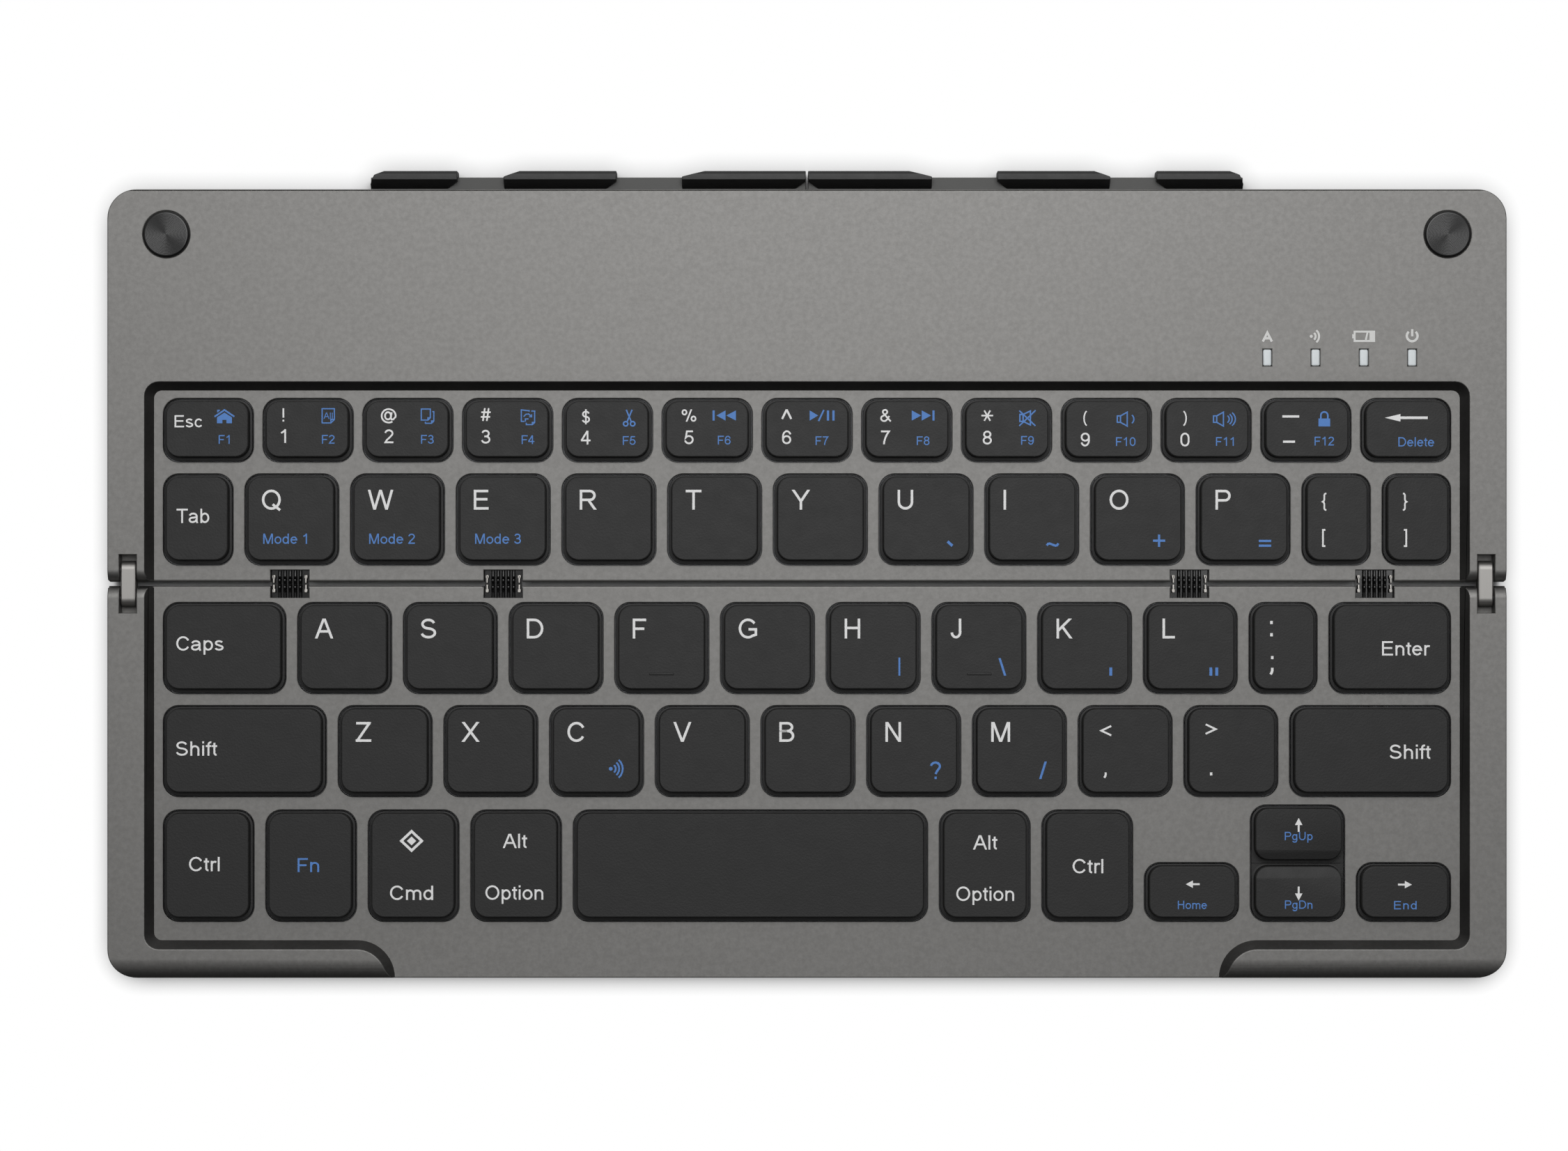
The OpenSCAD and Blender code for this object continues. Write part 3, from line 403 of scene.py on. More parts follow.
def rolledFront(bm):
    # the rim bends down over a longer and flatter curve than a quarter circle
    end, foot, radius = coverSet["frontEnd"], coverSet["frontFoot"], coverSet["frontRadius"]
    length, cuts = coverSet["frontLength"], coverSet["frontCuts"]
    for cut in range(cuts):
        away = length - (length - radius) * cut / cuts
        cutAcross(bm, (0, (end + away) * mm, 0), (0, 1, 0))
    for vert in bm.verts:
        away, z = vert.co.y / mm - end, vert.co.z / mm
        if not 0 <= away + 1e-4 < length:
            continue
        packed = foot + math.sqrt(max(0, radius ** 2 - max(0, radius - away) ** 2))
        if abs(z - packed) < coverSet["frontSlack"]:
            vert.co.z = (foot + radius * math.sqrt(max(0, 1 - ((length - away) / length) ** 2))) * mm


# the faces of the recess walls, which get painted shade
def recessWallShade(face):
    middle = face.calc_center_median() / mm
    return (coverSet["wallFoot"] < middle.z < coverSet["wallTop"] and abs(middle.x) < coverSet["wallSide"]
            and middle.y < coverSet["wallRear"] and abs(face.normal.z) < coverSet["wallUp"]
            and (face.normal.y > -coverSet["wallForward"] or middle.y > 0))


for half in ("upper", "lower"):
    softened(half + "_top_cover", half + "Cover", coverFinish,
             [(coverSet["hingeEdge"], alongHinge), (coverSet["edge"], aroundDeck)],
             reshape=rolledFront if half == "lower" else None, shadedWalls=recessWallShade)
    softened(half + "_bottom_cover", half + "Tray", coverFinish,
             [(coverSet["trayEdge"], anyEdge)])
print("covers made")

capSet = {
    "gap": 0.35,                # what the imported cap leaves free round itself
    # inset from the opening's edge, height and corner radius, from the skirt up to the top face
    "levels": [(0.2, 3.8, 2.5), (0.2, 4.25, 2.5), (0.25, 4.32, 2.45), (0.6, 4.36, 2.3), (0.72, 6.38, 2.2),
               (0.77, 6.54, 2.16), (0.88, 6.6, 2.1)],
    "wall": 1.45, "room": 1.8,  # thickness of the skirt, height of the hollow inside it
    "draft": 0.01,              # how much the hollow narrows towards its roof
    "ledge": 4.34, "setBack": 0.16,  # above the ledge the cap sits a little to the rear
    "cornerSteps": 7,
    # the bar on F and J: size, its middle from the opening's front edge, rounding
    "homingBar": (4.2, 0.4, 0.3), "homingBarFront": 3.45, "homingBarRounding": 0.12,
    # the up and down caps: what dips of their tops and how much, how much closer they stand, and their
    # square ledge, which lies a little below the others
    "dipLength": 2.6, "dipDepth": 0.65, "dipAbove": 6.0, "meet": 0.25,
    "flange": (2.6, 0.1), "flangeSunk": 0.03, "flangeRounding": 0.03,
}
capTop = capSet["levels"][-1][1]

# Each node's caps from left to right
capsOfNode = tableOf("""
esc_key Esc
keys_1_2_3 1 2 3
keys_4_5_6 4 5 6
keys_7_8_9 7 8 9
keys_0_dash 0 Dash
delete_key Delete
tab_key Tab
keys_q_w_e Q W E
keys_r_t_y R T Y
keys_u_i_o U I O
keys_p_brackets P LeftBracket RightBracket
caps_key Caps
keys_a_s_d A S D
keys_f_g_h F G H
keys_j_k_l J K L
colon_key Colon
enter_key Enter
left_shift_key LeftShift
keys_z_x_c Z X C
keys_v_b_n V B N
keys_m_comma_dot M Comma Dot
right_shift_key RightShift
left_ctrl_key LeftCtrl
fn_key Fn
cmd_key Cmd
left_alt_key LeftAlt
space_key Space
right_alt_key RightAlt
right_ctrl_key RightCtrl
left_arrow_key Left
up_arrow_key Up
down_arrow_key Down
right_arrow_key Right
""")
capsOfNode = {node: names.split() for node, names in capsOfNode.items()}


def roundedOutline(bm, low, high, z, radius):
    # one flat face with rounded corners
    made = flatSheet(bm, ((low.x + high.x) / 2, (low.y + high.y) / 2, z), high.x - low.x, high.y - low.y)
    rounded = bmesh.ops.bevel(bm, geom=made, offset=radius * mm, offset_type="OFFSET",
                              segments=capSet["cornerSteps"], profile=0.5, affect="VERTICES", material=-1)
    return rounded["verts"][0].link_faces[0]


def buildCap(name, low, high):
    # skirt, ledge, tapered sides and top face bridged from one outline to the next
    bm = bmesh.new()
    faces = []
    if name in ("Up", "Down"):
        # they meet in one opening, where their ledges are square
        length, thick = capSet["flange"]
        if name == "Up":
            low = low - Vector((0, capSet["meet"], 0))
            near = low.y + length / 2
        else:
            high = high + Vector((0, capSet["meet"], 0))
            near = high.y - length / 2
        inset = capSet["levels"][0][0]
        pour(bm, block(((low.x + high.x) / 2, near, capSet["ledge"] - thick / 2 - capSet["flangeSunk"]),
                       (high.x - low.x - 2 * inset, length - 2 * inset, thick), capSet["flangeRounding"]))
    for inset, z, radius in capSet["levels"]:
        edge = Vector((inset, inset, 0))
        back = Vector((0, capSet["setBack"] if z > capSet["ledge"] else 0, 0))
        faces.append(roundedOutline(bm, low + edge + back, high - edge + back, z, radius))
    rings = [list(face.edges) for face in faces]
    bmesh.ops.delete(bm, geom=faces[1:-1], context="FACES_ONLY")
    for near, far in zip(rings, rings[1:]):
        bmesh.ops.bridge_loops(bm, edges=near + far)
    bmesh.ops.recalc_face_normals(bm, faces=bm.faces)
    # the hollow: in by the skirt's thickness, then straight up
    bmesh.ops.inset_region(bm, faces=[faces[0]], thickness=capSet["wall"] * mm, use_even_offset=True)
    bmesh.ops.inset_region(bm, faces=[faces[0]], thickness=capSet["draft"] * mm,
                            depth=-capSet["room"] * mm)
    if name in ("Up", "Down"):
        # the top slopes down towards the neighbour, behind or in front of a crease
        shared, way = (low.y, 1) if name == "Up" else (high.y, -1)
        crease = (shared + way * capSet["dipLength"]) * mm
        cutAcross(bm, (0, crease, 0), (0, 1, 0))
        for vert in bm.verts:
            beyond = way * (crease - vert.co.y)
            if beyond > 0 and vert.co.z > capSet["dipAbove"] * mm:
                vert.co.z -= beyond * capSet["dipDepth"] / capSet["dipLength"]
    if name in ("F", "J"):
        middle = ((low.x + high.x) / 2, low.y + capSet["homingBarFront"], capTop)
        pour(bm, block(middle, capSet["homingBar"], capSet["homingBarRounding"]))
    return bm


capBoxes = {}
for node, names in capsOfNode.items():
    boxes = islands(node)
    if len(boxes) != len(names):
        raise ValueError(f"{node} has {len(boxes)} caps and {len(names)} names")
    caps = bmesh.new()
    for name, (low, high) in zip(names, boxes):
        grow = Vector((capSet["gap"], capSet["gap"], 0))
        capBoxes[name] = (low - grow, high + grow)
        pour(caps, buildCap(name, *capBoxes[name]))
    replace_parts(addPiece(node + "_caps", caps, capFinish, bodyOf(node)), node)
print("caps made:", len(capBoxes))

# the rubber domes of a key ride on its half
domeSet = {
    "reach": 3.4,      # what is closer to the middle of a cap than this is its dome
    "foot": 2.2,       # height of the plate it stands on
    "pressed": 0.55,  # share of its height that is left under a pressed key
}
for node, names in capsOfNode.items():
    middles = [((low + high) / 2).xy for low, high in (capBoxes[name] for name in names)]
    under = "upper_domes" if middles[0].y > coverSet["hingeLine"] else "lower_domes"
    bm = mergedCopy(under)
    others = [v for v in bm.verts if all((v.co.xy / mm - at).length > domeSet["reach"] for at in middles)]
    bmesh.ops.delete(bm, geom=others, context="VERTS")
    domes = addPiece(node + "_domes", bm, domeFinish, bodyOf(under))
    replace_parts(domes, under)
    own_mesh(domes)
print("domes made")


# Sans serif letters for a cap height of 100: the advance of each one, then its strokes, with a bar before each.
# A point is x,y, and six numbers are an arc: middle, two radii, first and last angle.
strokeWidth = 12.6
glyphs = tableOf(r"""
A 93 | 3,-10 49,110 | 90,-10 44.5,110 | 18,35.5 75,35.5
B 93 | 16.5,50 16.5,93.7 50,93.7 50,74,24.5,19.7,90,-90 16.5,54.3
 | 16.5,54.3 16.5,6.3 53,6.3 53,30.3,26.4,24,-90,90 16.5,54.3
C 101 | 52.5,50,39.2,44.4,29,329
D 101 | 48,50,40,43.7,90,-90 17,6.3 17,93.7 48,93.7
E 93 | 84,93.7 17.4,93.7 17.4,6.3 85.7,6.3 | 17.4,52.5 80,52.5
F 85 | 79,93.7 17.8,93.7 17.8,0 | 17.8,49 70,49
G 109 | 54,50,40.5,44.4,36,305 94,19 94,46 57,46
H 101 | 17.5,0 17.5,100 | 83.3,0 83.3,100 | 17.5,53 83.3,53
I 39 | 19.6,0 19.6,100
J 70 | 51.5,100 51.5,31 31,31,20.8,24.7,0,-178
K 93 | 16.5,0 16.5,100 | 85,106 18,39 | 39,60 89,-8
L 78 | 16.5,100 16.5,6.3 72.7,6.3
M 116 | 16.7,0 16.7,100 | 99.4,0 99.4,100 | 17,108 60.5,-8 | 99,108 55.5,-8
N 101 | 17,0 17,100 | 83,0 83,100 | 13.5,106 86.5,-6
O 109 | 54.6,50,41.5,44.6,0,360
P 93 | 58,70.2,23.3,23.5,-90,90 17,93.7 17,0 | 17,46.7 58,46.7
Q 109 | 54.6,50,41.5,44.6,0,360 | 61,27 99,-3
R 101 | 62,71.5,23,22.2,-90,90 17,93.7 17,0 | 17,49.3 62,49.3 | 53,50 93,-6
S 93 | 46,72.3,29.3,21.4,14,255 46.3,28.2,33,21.9,75,-170
T 85 | 42.6,0 42.6,100 | 3,93.7 82.5,93.7
U 101 | 17,100 17,38 50,38,33,31.8,180,360 83,100
V 93 | 4,110 50.3,-10 | 89,110 42.7,-10
W 132 | 5.5,110 38.3,-10 | 32.7,-10 68.6,110 | 63,110 99,-10 | 93.4,-10 126.4,110
X 93 | 1,-10 91,110 | 92,-10 2,110
Y 93 | 46.3,0 46.3,45 | 0.5,110 49,38 | 92,110 43.6,38
Z 85 | 5.5,93.7 78,93.7 | 3,6.3 81.4,6.3 | 76,100 7,0
0 78 | 38.7,62,26.6,31.8,0,180 38.7,38,26.6,31.8,180,360 65.3,62
1 78 | 45.7,0 45.7,100 | 46,96 36,84 27,78 16,73
2 78 | 38,71.5,26.3,22.2,172,-30 45,43 24,24 13,6.3 70.5,6.3
3 78 | 37,73,23.5,20.7,165,-90 28,52.3 | 28,52.6 37.5,29.3,27.8,23,90,-168
4 78 | 49.5,0 49.5,100 | 2,29 70.9,29 | 52,104 5,28
5 78 | 67,93.7 23,93.7 15,49 37.5,33,28,26.7,142,-168
6 78 | 39,32.3,26.6,26,0,360 | 12.3,33 40.5,55,28.3,38.8,180,24
7 78 | 7,93.7 65,93.7 51,73 39,48 31,22 28.5,0
8 78 | 38.7,73.4,23.3,20.4,0,360 | 38.7,29.3,26.7,23.3,0,360
9 78 | 38.3,67.7,26.6,26,0,360 | 65,67 36.8,45,28.3,38.8,0,-156
a 78 | 36,47,25,19.3,165,0 61,12 66,0 | 61,42 42,38 31,21.7,20.5,15.5,100,290 52,13 61,27
b 78 | 15.3,0 15.3,100 | 40.3,36.2,25.2,30,0,360
c 70 | 37.8,36.2,26.2,30,38,324
d 78 | 61.2,0 61.2,100 | 36.2,36.2,25.2,30,0,360
e 78 | 12,38.8 66,38.8 38.7,36.2,27.3,30,6,326
f 39 | 19.4,0 19.4,78 35,78,15.6,16,180,78 | 1.3,67 38,67
g 78 | 61.2,72.5 61.2,-2 36,-2,25.2,21,0,-160 | 36.2,36.2,25.2,30,0,360
h 78 | 15.3,0 15.3,100 | 38.8,43,23.4,23.2,180,0 62.2,0
i 31 | 15.5,0 15.5,72.5 | 15.5,86.5 15.5,100
l 31 | 15,0 15,100
m 116 | 15.3,0 15.3,72.5 | 36.8,45,21.5,21.2,180,0 58.3,0 | 79.8,45,21.5,21.2,180,0 101.3,0
n 78 | 15.3,0 15.3,72.5 | 38.8,43,23.4,23.2,180,0 62.2,0
o 78 | 38.7,36.2,27.8,30,0,360
p 78 | 15.3,-28.5 15.3,72.5 | 40.3,36.2,25.2,30,0,360
r 46 | 15.3,0 15.3,72.5 | 36,44,20.7,22.2,180,62
s 70 | 34,52.7,21.3,13.4,22,260 34.3,20.4,23.8,14.2,80,-168
t 39 | 19,90 19,20 31,19,12,12.6,180,280 | 2.5,67 37,67
! 39 | 20,29 20,100 | 20,0 20,13.5
@ 142 | 57,38,22,27,0,360 | 84,64 78,22 84,11 96,12 108,25 62,38,52,50,-8,302
# 78 | 18,0 33,100 | 48,0 63,100 | 6,68 78,68 | 2,32 74,32
$ 78 | 38.5,71,24,20.5,15,260 38.5,28.5,26.5,21.5,80,-168 | 38.5,-10 38.5,110
% 125 | 24,76,17,18.5,0,360 | 98,24,17,18.5,0,360 | 40,-3 82,103
^ 70 | 7,46 35,104 | 63,46 35,104
& 93 | 88,3 31,66 43,78,17.5,16,212,-42 30,47.5 36,27,24.5,21.5,122,300 63,21 76,46
* 100 | 2,50 98,50 | 26,8 74,92 | 74,8 26,92
( 46 | 62,36,45,76,118,242
) 46 | -16,36,45,76,62,-62
: 39 | 19,0 19,15 | 19,58 19,73
; 39 | 19,58 19,73 | 19,15 19,2 16,-9 10,-17
. 39 | 19,0 19,15
, 39 | 19,15 19,2 16,-9 10,-17
< 82 | 76,70 8,38 76,6
> 82 | 6,70 74,38 6,6
{ 46 | 38,104 30,103 24,98 22,90 22,55 18,44 8,38 18,32 22,21 22,-14 24,-22 30,-27 38,-28
} 46 | 8,104 16,103 22,98 24,90 24,55 28,44 38,38 28,32 24,21 24,-14 22,-22 16,-27 8,-28
[ 39 | 32,98 14,98 14,-23 32,-23
] 39 | 6,98 24,98 24,-23 6,-23
` 46 | 8,100 30,80
~ 82 | 8,34 14,43 24,45 36,41 48,36 58,33 68,36 74,46
+ 82 | 6,38 76,38 | 41,3 41,73
= 82 | 6,24 76,24 | 6,51 76,51
| 36 | 18,-20 18,104
\ 39 | 3,104 37,-4
/ 39 | 37,104 3,-4
' 27 | 13,64 13,100
" 50 | 12,64 12,100 | 38,64 38,100
? 78 | 38,72.5,25,21.3,172,-35 45,42 39,28 | 39,0 39,13.5
""")
spaceAdvance, arcStep = 38, 15  # the width of a space, and the degrees between two points of an arc
cutSquare = "AKMNVWXYZR4#%\\/"  # slanted strokes, cut level at the foot and the head

# The signs in millimetres from their middle: half the width of the lines, then the lines, written as the
# strokes above, and after a number sign the filled areas
signs = tableOf("""
house 0.14 | -1.7,-0.1 0,1.05 1.7,-0.1
 # -1.28,-1.23 -1.28,-0.22 0,0.6 1.28,-0.22 1.28,-1.23 0.34,-1.23 0.34,-0.64 -0.36,-0.64 -0.36,-1.23
 | -1.25,1.08 -0.72,1.08 -0.88,0.84 -1.25,0.6
all 0.1 | -1.05,1.22 1.05,1.22 1.05,-0.62 0.45,-1.22 -1.05,-1.22 -1.05,1.22 | 0.45,-1.15 0.45,-0.62 1,-0.62
copies 0.1 | -1.05,1.2 0.5,1.2 0.5,-0.3 0.1,-0.7 -1.05,-0.7 -1.05,1.2 | 0.1,-0.65 0.1,-0.3 0.45,-0.3
 | 0.85,0.75 1.1,0.75 1.1,-0.85 0.72,-1.25 -0.35,-1.25 -0.35,-0.98 | 0.72,-1.2 0.72,-0.85 1.05,-0.85
paste 0.1 | -0.62,-0.72 -1.15,-0.72 -1.15,1.25 0.2,1.1 0.2,0.95
 | -0.3,-0.95 -0.3,-1.28 0.75,-1.28 1.15,-0.9 1.15,1.05 0.55,1.05 | 0.75,-1.2 0.75,-0.9 1.1,-0.9
 | -0.75,0.1 -0.35,0.5 0.1,0.55 0.6,0.1 | 0.62,0.5 0.62,0.08 0.2,0.08 | -0.45,-0.75 -0.45,-0.3 0.1,-0.3
scissors 0.12 | -0.6,-1,0.38,0.38,0,360 | 0.6,-1,0.38,0.38,0,360 | -0.38,-0.7 0.5,1.4 | 0.38,-0.7 -0.5,1.4
previous 0.1 # -2,0.87 -2,-0.87 -1.64,-0.87 -1.64,0.87 | -1.32,0 0.22,0.87 0.22,-0.87 | 0.36,0 2,0.87 2,-0.87
playPause 0.14 | -0.62,-0.95 0.28,0.95 # -2.15,0.87 -0.7,0 -2.15,-0.87
 | 0.8,0.87 0.8,-0.87 1.18,-0.87 1.18,0.87 | 1.74,0.87 1.74,-0.87 2.12,-0.87 2.12,0.87
next 0.1 # 1.95,0.87 1.95,-0.87 1.6,-0.87 1.6,0.87 | -1.95,0.87 -0.35,0 -1.95,-0.87
 | -0.25,0.87 1.35,0 -0.25,-0.87
mute 0.12 | -1.3,0.6 -0.75,0.6 0.5,1.2 0.5,-1.2 -0.75,-0.6 -1.3,-0.6 -1.3,0.6 | -0.75,0.6 -0.75,-0.6
 | -1.4,1.25 1.35,-1.35 | -1.4,-1.35 1.4,1.3
quieter 0.11 | -1.45,0.55 -0.9,0.55 0.25,1.2 0.25,-1.2 -0.9,-0.55 -1.45,-0.55 -1.45,0.55
 | -0.9,0.55 -0.9,-0.55 | 0.35,0,1.05,0.95,-48,48
louder 0.11 | -1.95,0.55 -1.4,0.55 -0.25,1.2 -0.25,-1.2 -1.4,-0.55 -1.95,-0.55 -1.95,0.55
 | -1.4,0.55 -1.4,-0.55 | -0.15,0,0.9,0.8,-48,48 | -0.05,0,1.3,1.15,-48,48 | 0.1,0,1.7,1.5,-48,48
padlock 0.14 | -0.6,-0.1 -0.6,0.58 0,0.58,0.6,0.6,180,0 0.6,-0.1 # -1,-1.3 1,-1.3 1,0.05 -1,0.05
waves 0.15 | -0.85,0,0.85,0.85,-48,48 | -0.85,0,1.45,1.45,-48,48 | -0.85,0,2.05,2.05,-48,48
 # -0.85,0,0.32,0.32,0,345
diamond 0.22 | 0,1.65 1.75,0 0,-1.65 -1.75,0 0,1.65 # 0,0.75 0.8,0 0,-0.75 -0.8,0
longArrow 0.22 | -1.1,0 3.68,0 # -3.68,0 -1,0.64 -1,-0.64
arrow 0.16 | -0.1,0 1.19,0 # -1.19,0 0.02,0.64 0.02,-0.64
longDash 0.19 | -1.45,0 1.45,0
shortDash 0.19 | -1.03,0 1.03,0
capital 0.2 | -0.78,-0.9 0,0.63 0.78,-0.9 | -0.5,-0.34 0.5,-0.34
smallWaves 0.17 | -0.75,0,0.75,0.75,-50,50 | -0.75,0,1.35,1.35,-50,50 # -0.75,0,0.26,0.26,0,345
charge 0.17 | -1.6,-0.8 -1.6,0.8 1.75,0.8 1.75,-0.8 -1.6,-0.8 # -2,0.35 -1.7,0.35 -1.7,-0.35 -2,-0.35
 | 0.95,0.75 0.95,-0.75 1.7,-0.75 1.7,0.75 | 0.45,0.62 0.15,-0.62 0.5,-0.62 0.75,0.62
power 0.2 | 0,0.07,0.92,0.92,130,410 | 0,1.22 0,0
""")
inkHeight, inkLift = 0.015, 0.004  # thickness of the print, and its middle above the surface


def followPath(path):
    # points stay as they are, arcs become points
    points = []
    for item in path.split():
        numbers = [float(number) for number in item.split(",")]
        if len(numbers) == 2:
            points.append(numbers)
            continue
        x, y, wide, high, first, last = numbers
        steps = max(3, round(abs(last - first) / arcStep))
        for step in range(steps + 1):
            angle = math.radians(first + (last - first) * step / steps)
            points.append((x + wide * math.cos(angle), y + high * math.sin(angle)))
    return points


def shapeOfCurve(data, doubles):
    # a curve as a bmesh, with what lies closer than doubles merged
    drawn = bpy.data.objects.new("drawn", data)
    mesh = bpy.data.meshes.new_from_object(drawn)
    bm = bmesh.new()
    bm.from_mesh(mesh)
    bmesh.ops.remove_doubles(bm, verts=bm.verts, dist=doubles)
    bpy.data.objects.remove(drawn)
    bpy.data.curves.remove(data)
    bpy.data.meshes.remove(mesh)
    return bm


def flatBand(paths, half):
    # lines of one width, or filled areas where the half width is 0, as a mesh in the plane of the paper
    data = bpy.data.curves.new("band", "CURVE")
    data.dimensions = "2D"
    data.fill_mode = "NONE" if half else "BOTH"
    data.bevel_depth = half
    data.bevel_resolution = 0
    data.use_fill_caps = True
    data.extrude = 0 if half else 1.0
    for path in paths:
        points = followPath(path)
        closed = not half or math.dist(points[0], points[-1]) < 1e-4
        if closed and half:
            points.pop()
        spline = data.splines.new("POLY")
        spline.points.add(len(points) - 1)
        for point, (x, y) in zip(spline.points, points):
            point.co = (x, y, 0, 1)
        spline.use_cyclic_u = closed
    bm = shapeOfCurve(data, 1e-5)
    highest = max(v.co.z for v in bm.verts)
    bmesh.ops.scale(bm, verts=bm.verts, vec=(1, 1, 1 / highest))
    return bm


glyphShapes = {}


def glyphShape(name):
    # each sign is drawn once and used wherever it stands
    if name not in glyphShapes:
        bm = flatBand(glyphs[name].split("|")[1:], strokeWidth / 2)
        if name in cutSquare:
            for level, way in ((0, -1), (100, 1)):
                cut = cutAcross(bm, (0, level, 0), (0, way, 0), clear_outer=True)
                bmesh.ops.holes_fill(bm, edges=[e for e in cut if isinstance(e, bmesh.types.BMEdge)])
        glyphShapes[name] = bm
    return glyphShapes[name]


def drawWord(text, gap=0.0):
    bm = bmesh.new()
    across = 0.0
    for letter in text:
        if letter == " ":
            across += spaceAdvance
            continue
        pour(bm, glyphShape(letter), Matrix.Translation((across, 0, 0)))
        across += float(glyphs[letter].split("|")[0]) + gap
    return bm


def drawSign(name):
    half, shapes = signs[name].split(" ", 1)
    lines, _, areas = shapes.partition("#")
    bm = bmesh.new()
    for paths, width in ((lines, float(half)), (areas, 0)):
        if paths:
            pour(bm, flatBand(paths.strip("| ").split("|"), width))
    return bm


def reach(bm, axis):
    values = [v.co[axis] for v in bm.verts]
    return min(values), max(values)


def putInk(target, part, scale, x, y, z, hold="middle", turn=0):
    # hold says what stands at (x, y): the middle, the left end of the foot line, or the lower right corner
    part.transform(Matrix.Rotation(math.radians(turn), 4, "Z") @ Matrix.Diagonal((scale, scale, inkHeight, 1)))
    (left, right), (foot, head) = reach(part, 0), reach(part, 1)
    shift = {"middle": (-(left + right) / 2, -(foot + head) / 2), "left": (-left, 0), "corner": (-right, -foot),
             "own": (0, 0)}[hold]
    place = Vector((x + shift[0], y + shift[1], z + inkLift))
    part.transform(Matrix.Scale(mm, 4) @ Matrix.Translation(place))
    pour(target, part)
    part.free()


def word(text, cap, x, y, hold="middle", width=None, colour="white"):
    return {"word": text, "cap": cap, "x": x, "y": y, "hold": hold, "width": width, "colour": colour}


def sign(name, x, y, colour="blue", turn=0):
    return {"sign": name, "x": x, "y": y, "hold": "own", "colour": colour, "turn": turn}


def inkHigh(text, high, x, y):
    # a symbol whose drawn height is given
    part = drawWord(text)
    foot, head = reach(part, 1)
    part.free()
    return word(text, high / (head - foot) * 100, x, y)


# The legends of each cap, in millimetres from its middle
legends = {name: [word(name, 3.4, -4.93, 1.7, "left")] for name in "QWERTYUIOPASDFGHJKLZXCVBNM"}
for name, mode in zip("QWE", ("Mode 1", "Mode 2", "Mode 3")):
    legends[name].append(word(mode, 1.75, -4.7, -4.17, "left", colour="blue"))
for name, text, high in (("U", "`", 1.1), ("I", "~", 0.75), ("O", "+", 2.1), ("P", "=", 1.2), ("H", "|", 3.1),
                         ("J", "\\", 3.0), ("K", "'", 1.4), ("L", "\"", 1.4), ("N", "?", 3.0), ("M", "/", 3.0)):
    legends[name].append({**inkHigh(text, high, 4.62, -4.68), "hold": "corner", "colour": "blue"})
legends["C"].append(sign("waves", 3.36, -2.93))
# white sign, its height, place across and up, digit's place up, blue sign, its place across and up, blue number
for name, symbol, high, across, up, digitUp, blue, blueAcross, blueUp, number, numberUp in (
        ("1", "!", 2.27, -4.05, 2.6, -1.04, "all", 3.65, 2.43, "F2", -1.6),
        ("2", "@", 2.6, -3.15, 2.43, -1.08, "copies", 3.5, 2.4, "F3", -1.6),
        ("3", "#", 2.2, -3.65, 2.65, -1.15, "paste", 3.6, 2.2, "F4", -1.65),
        ("4", "$", 2.57, -3.68, 2.27, -1.3, "scissors", 3.8, 2.07, "F5", -1.8),
        ("5", "%", 2.1, -3.1, 2.49, -1.26, "previous", 2.95, 2.49, "F6", -1.74),
        ("6", "^", 1.76, -3.5, 2.7, -1.24, "playPause", 2.6, 2.49, "F7", -1.84),
        ("7", "&", 2.2, -3.65, 2.49, -1.28, "next", 2.76, 2.49, "F8", -1.84),
        ("8", "*", 1.9, -3.4, 2.47, -1.3, "mute", 3.5, 2.07, "F9", -1.78),
        ("9", "(", 2.65, -3.75, 2.0, -1.64, "quieter", 3.2, 1.87, "F10", -1.99),
        ("0", ")", 2.65, -3.8, 2.0, -1.64, "louder", 3.05, 1.87, "F11", -1.97)):
    legends[name] = [inkHigh(symbol, high, across, up), word(name, 2.36, across, digitUp),
                     sign(blue, blueAcross, blueUp), word(number, 1.5, blueAcross, numberUp, colour="blue")]
legends["1"].append(word("All", 1.08, 3.62, 2.45, colour="blue"))
legends["4"][0]["x"] = -3.62  # a little to the right of its digit
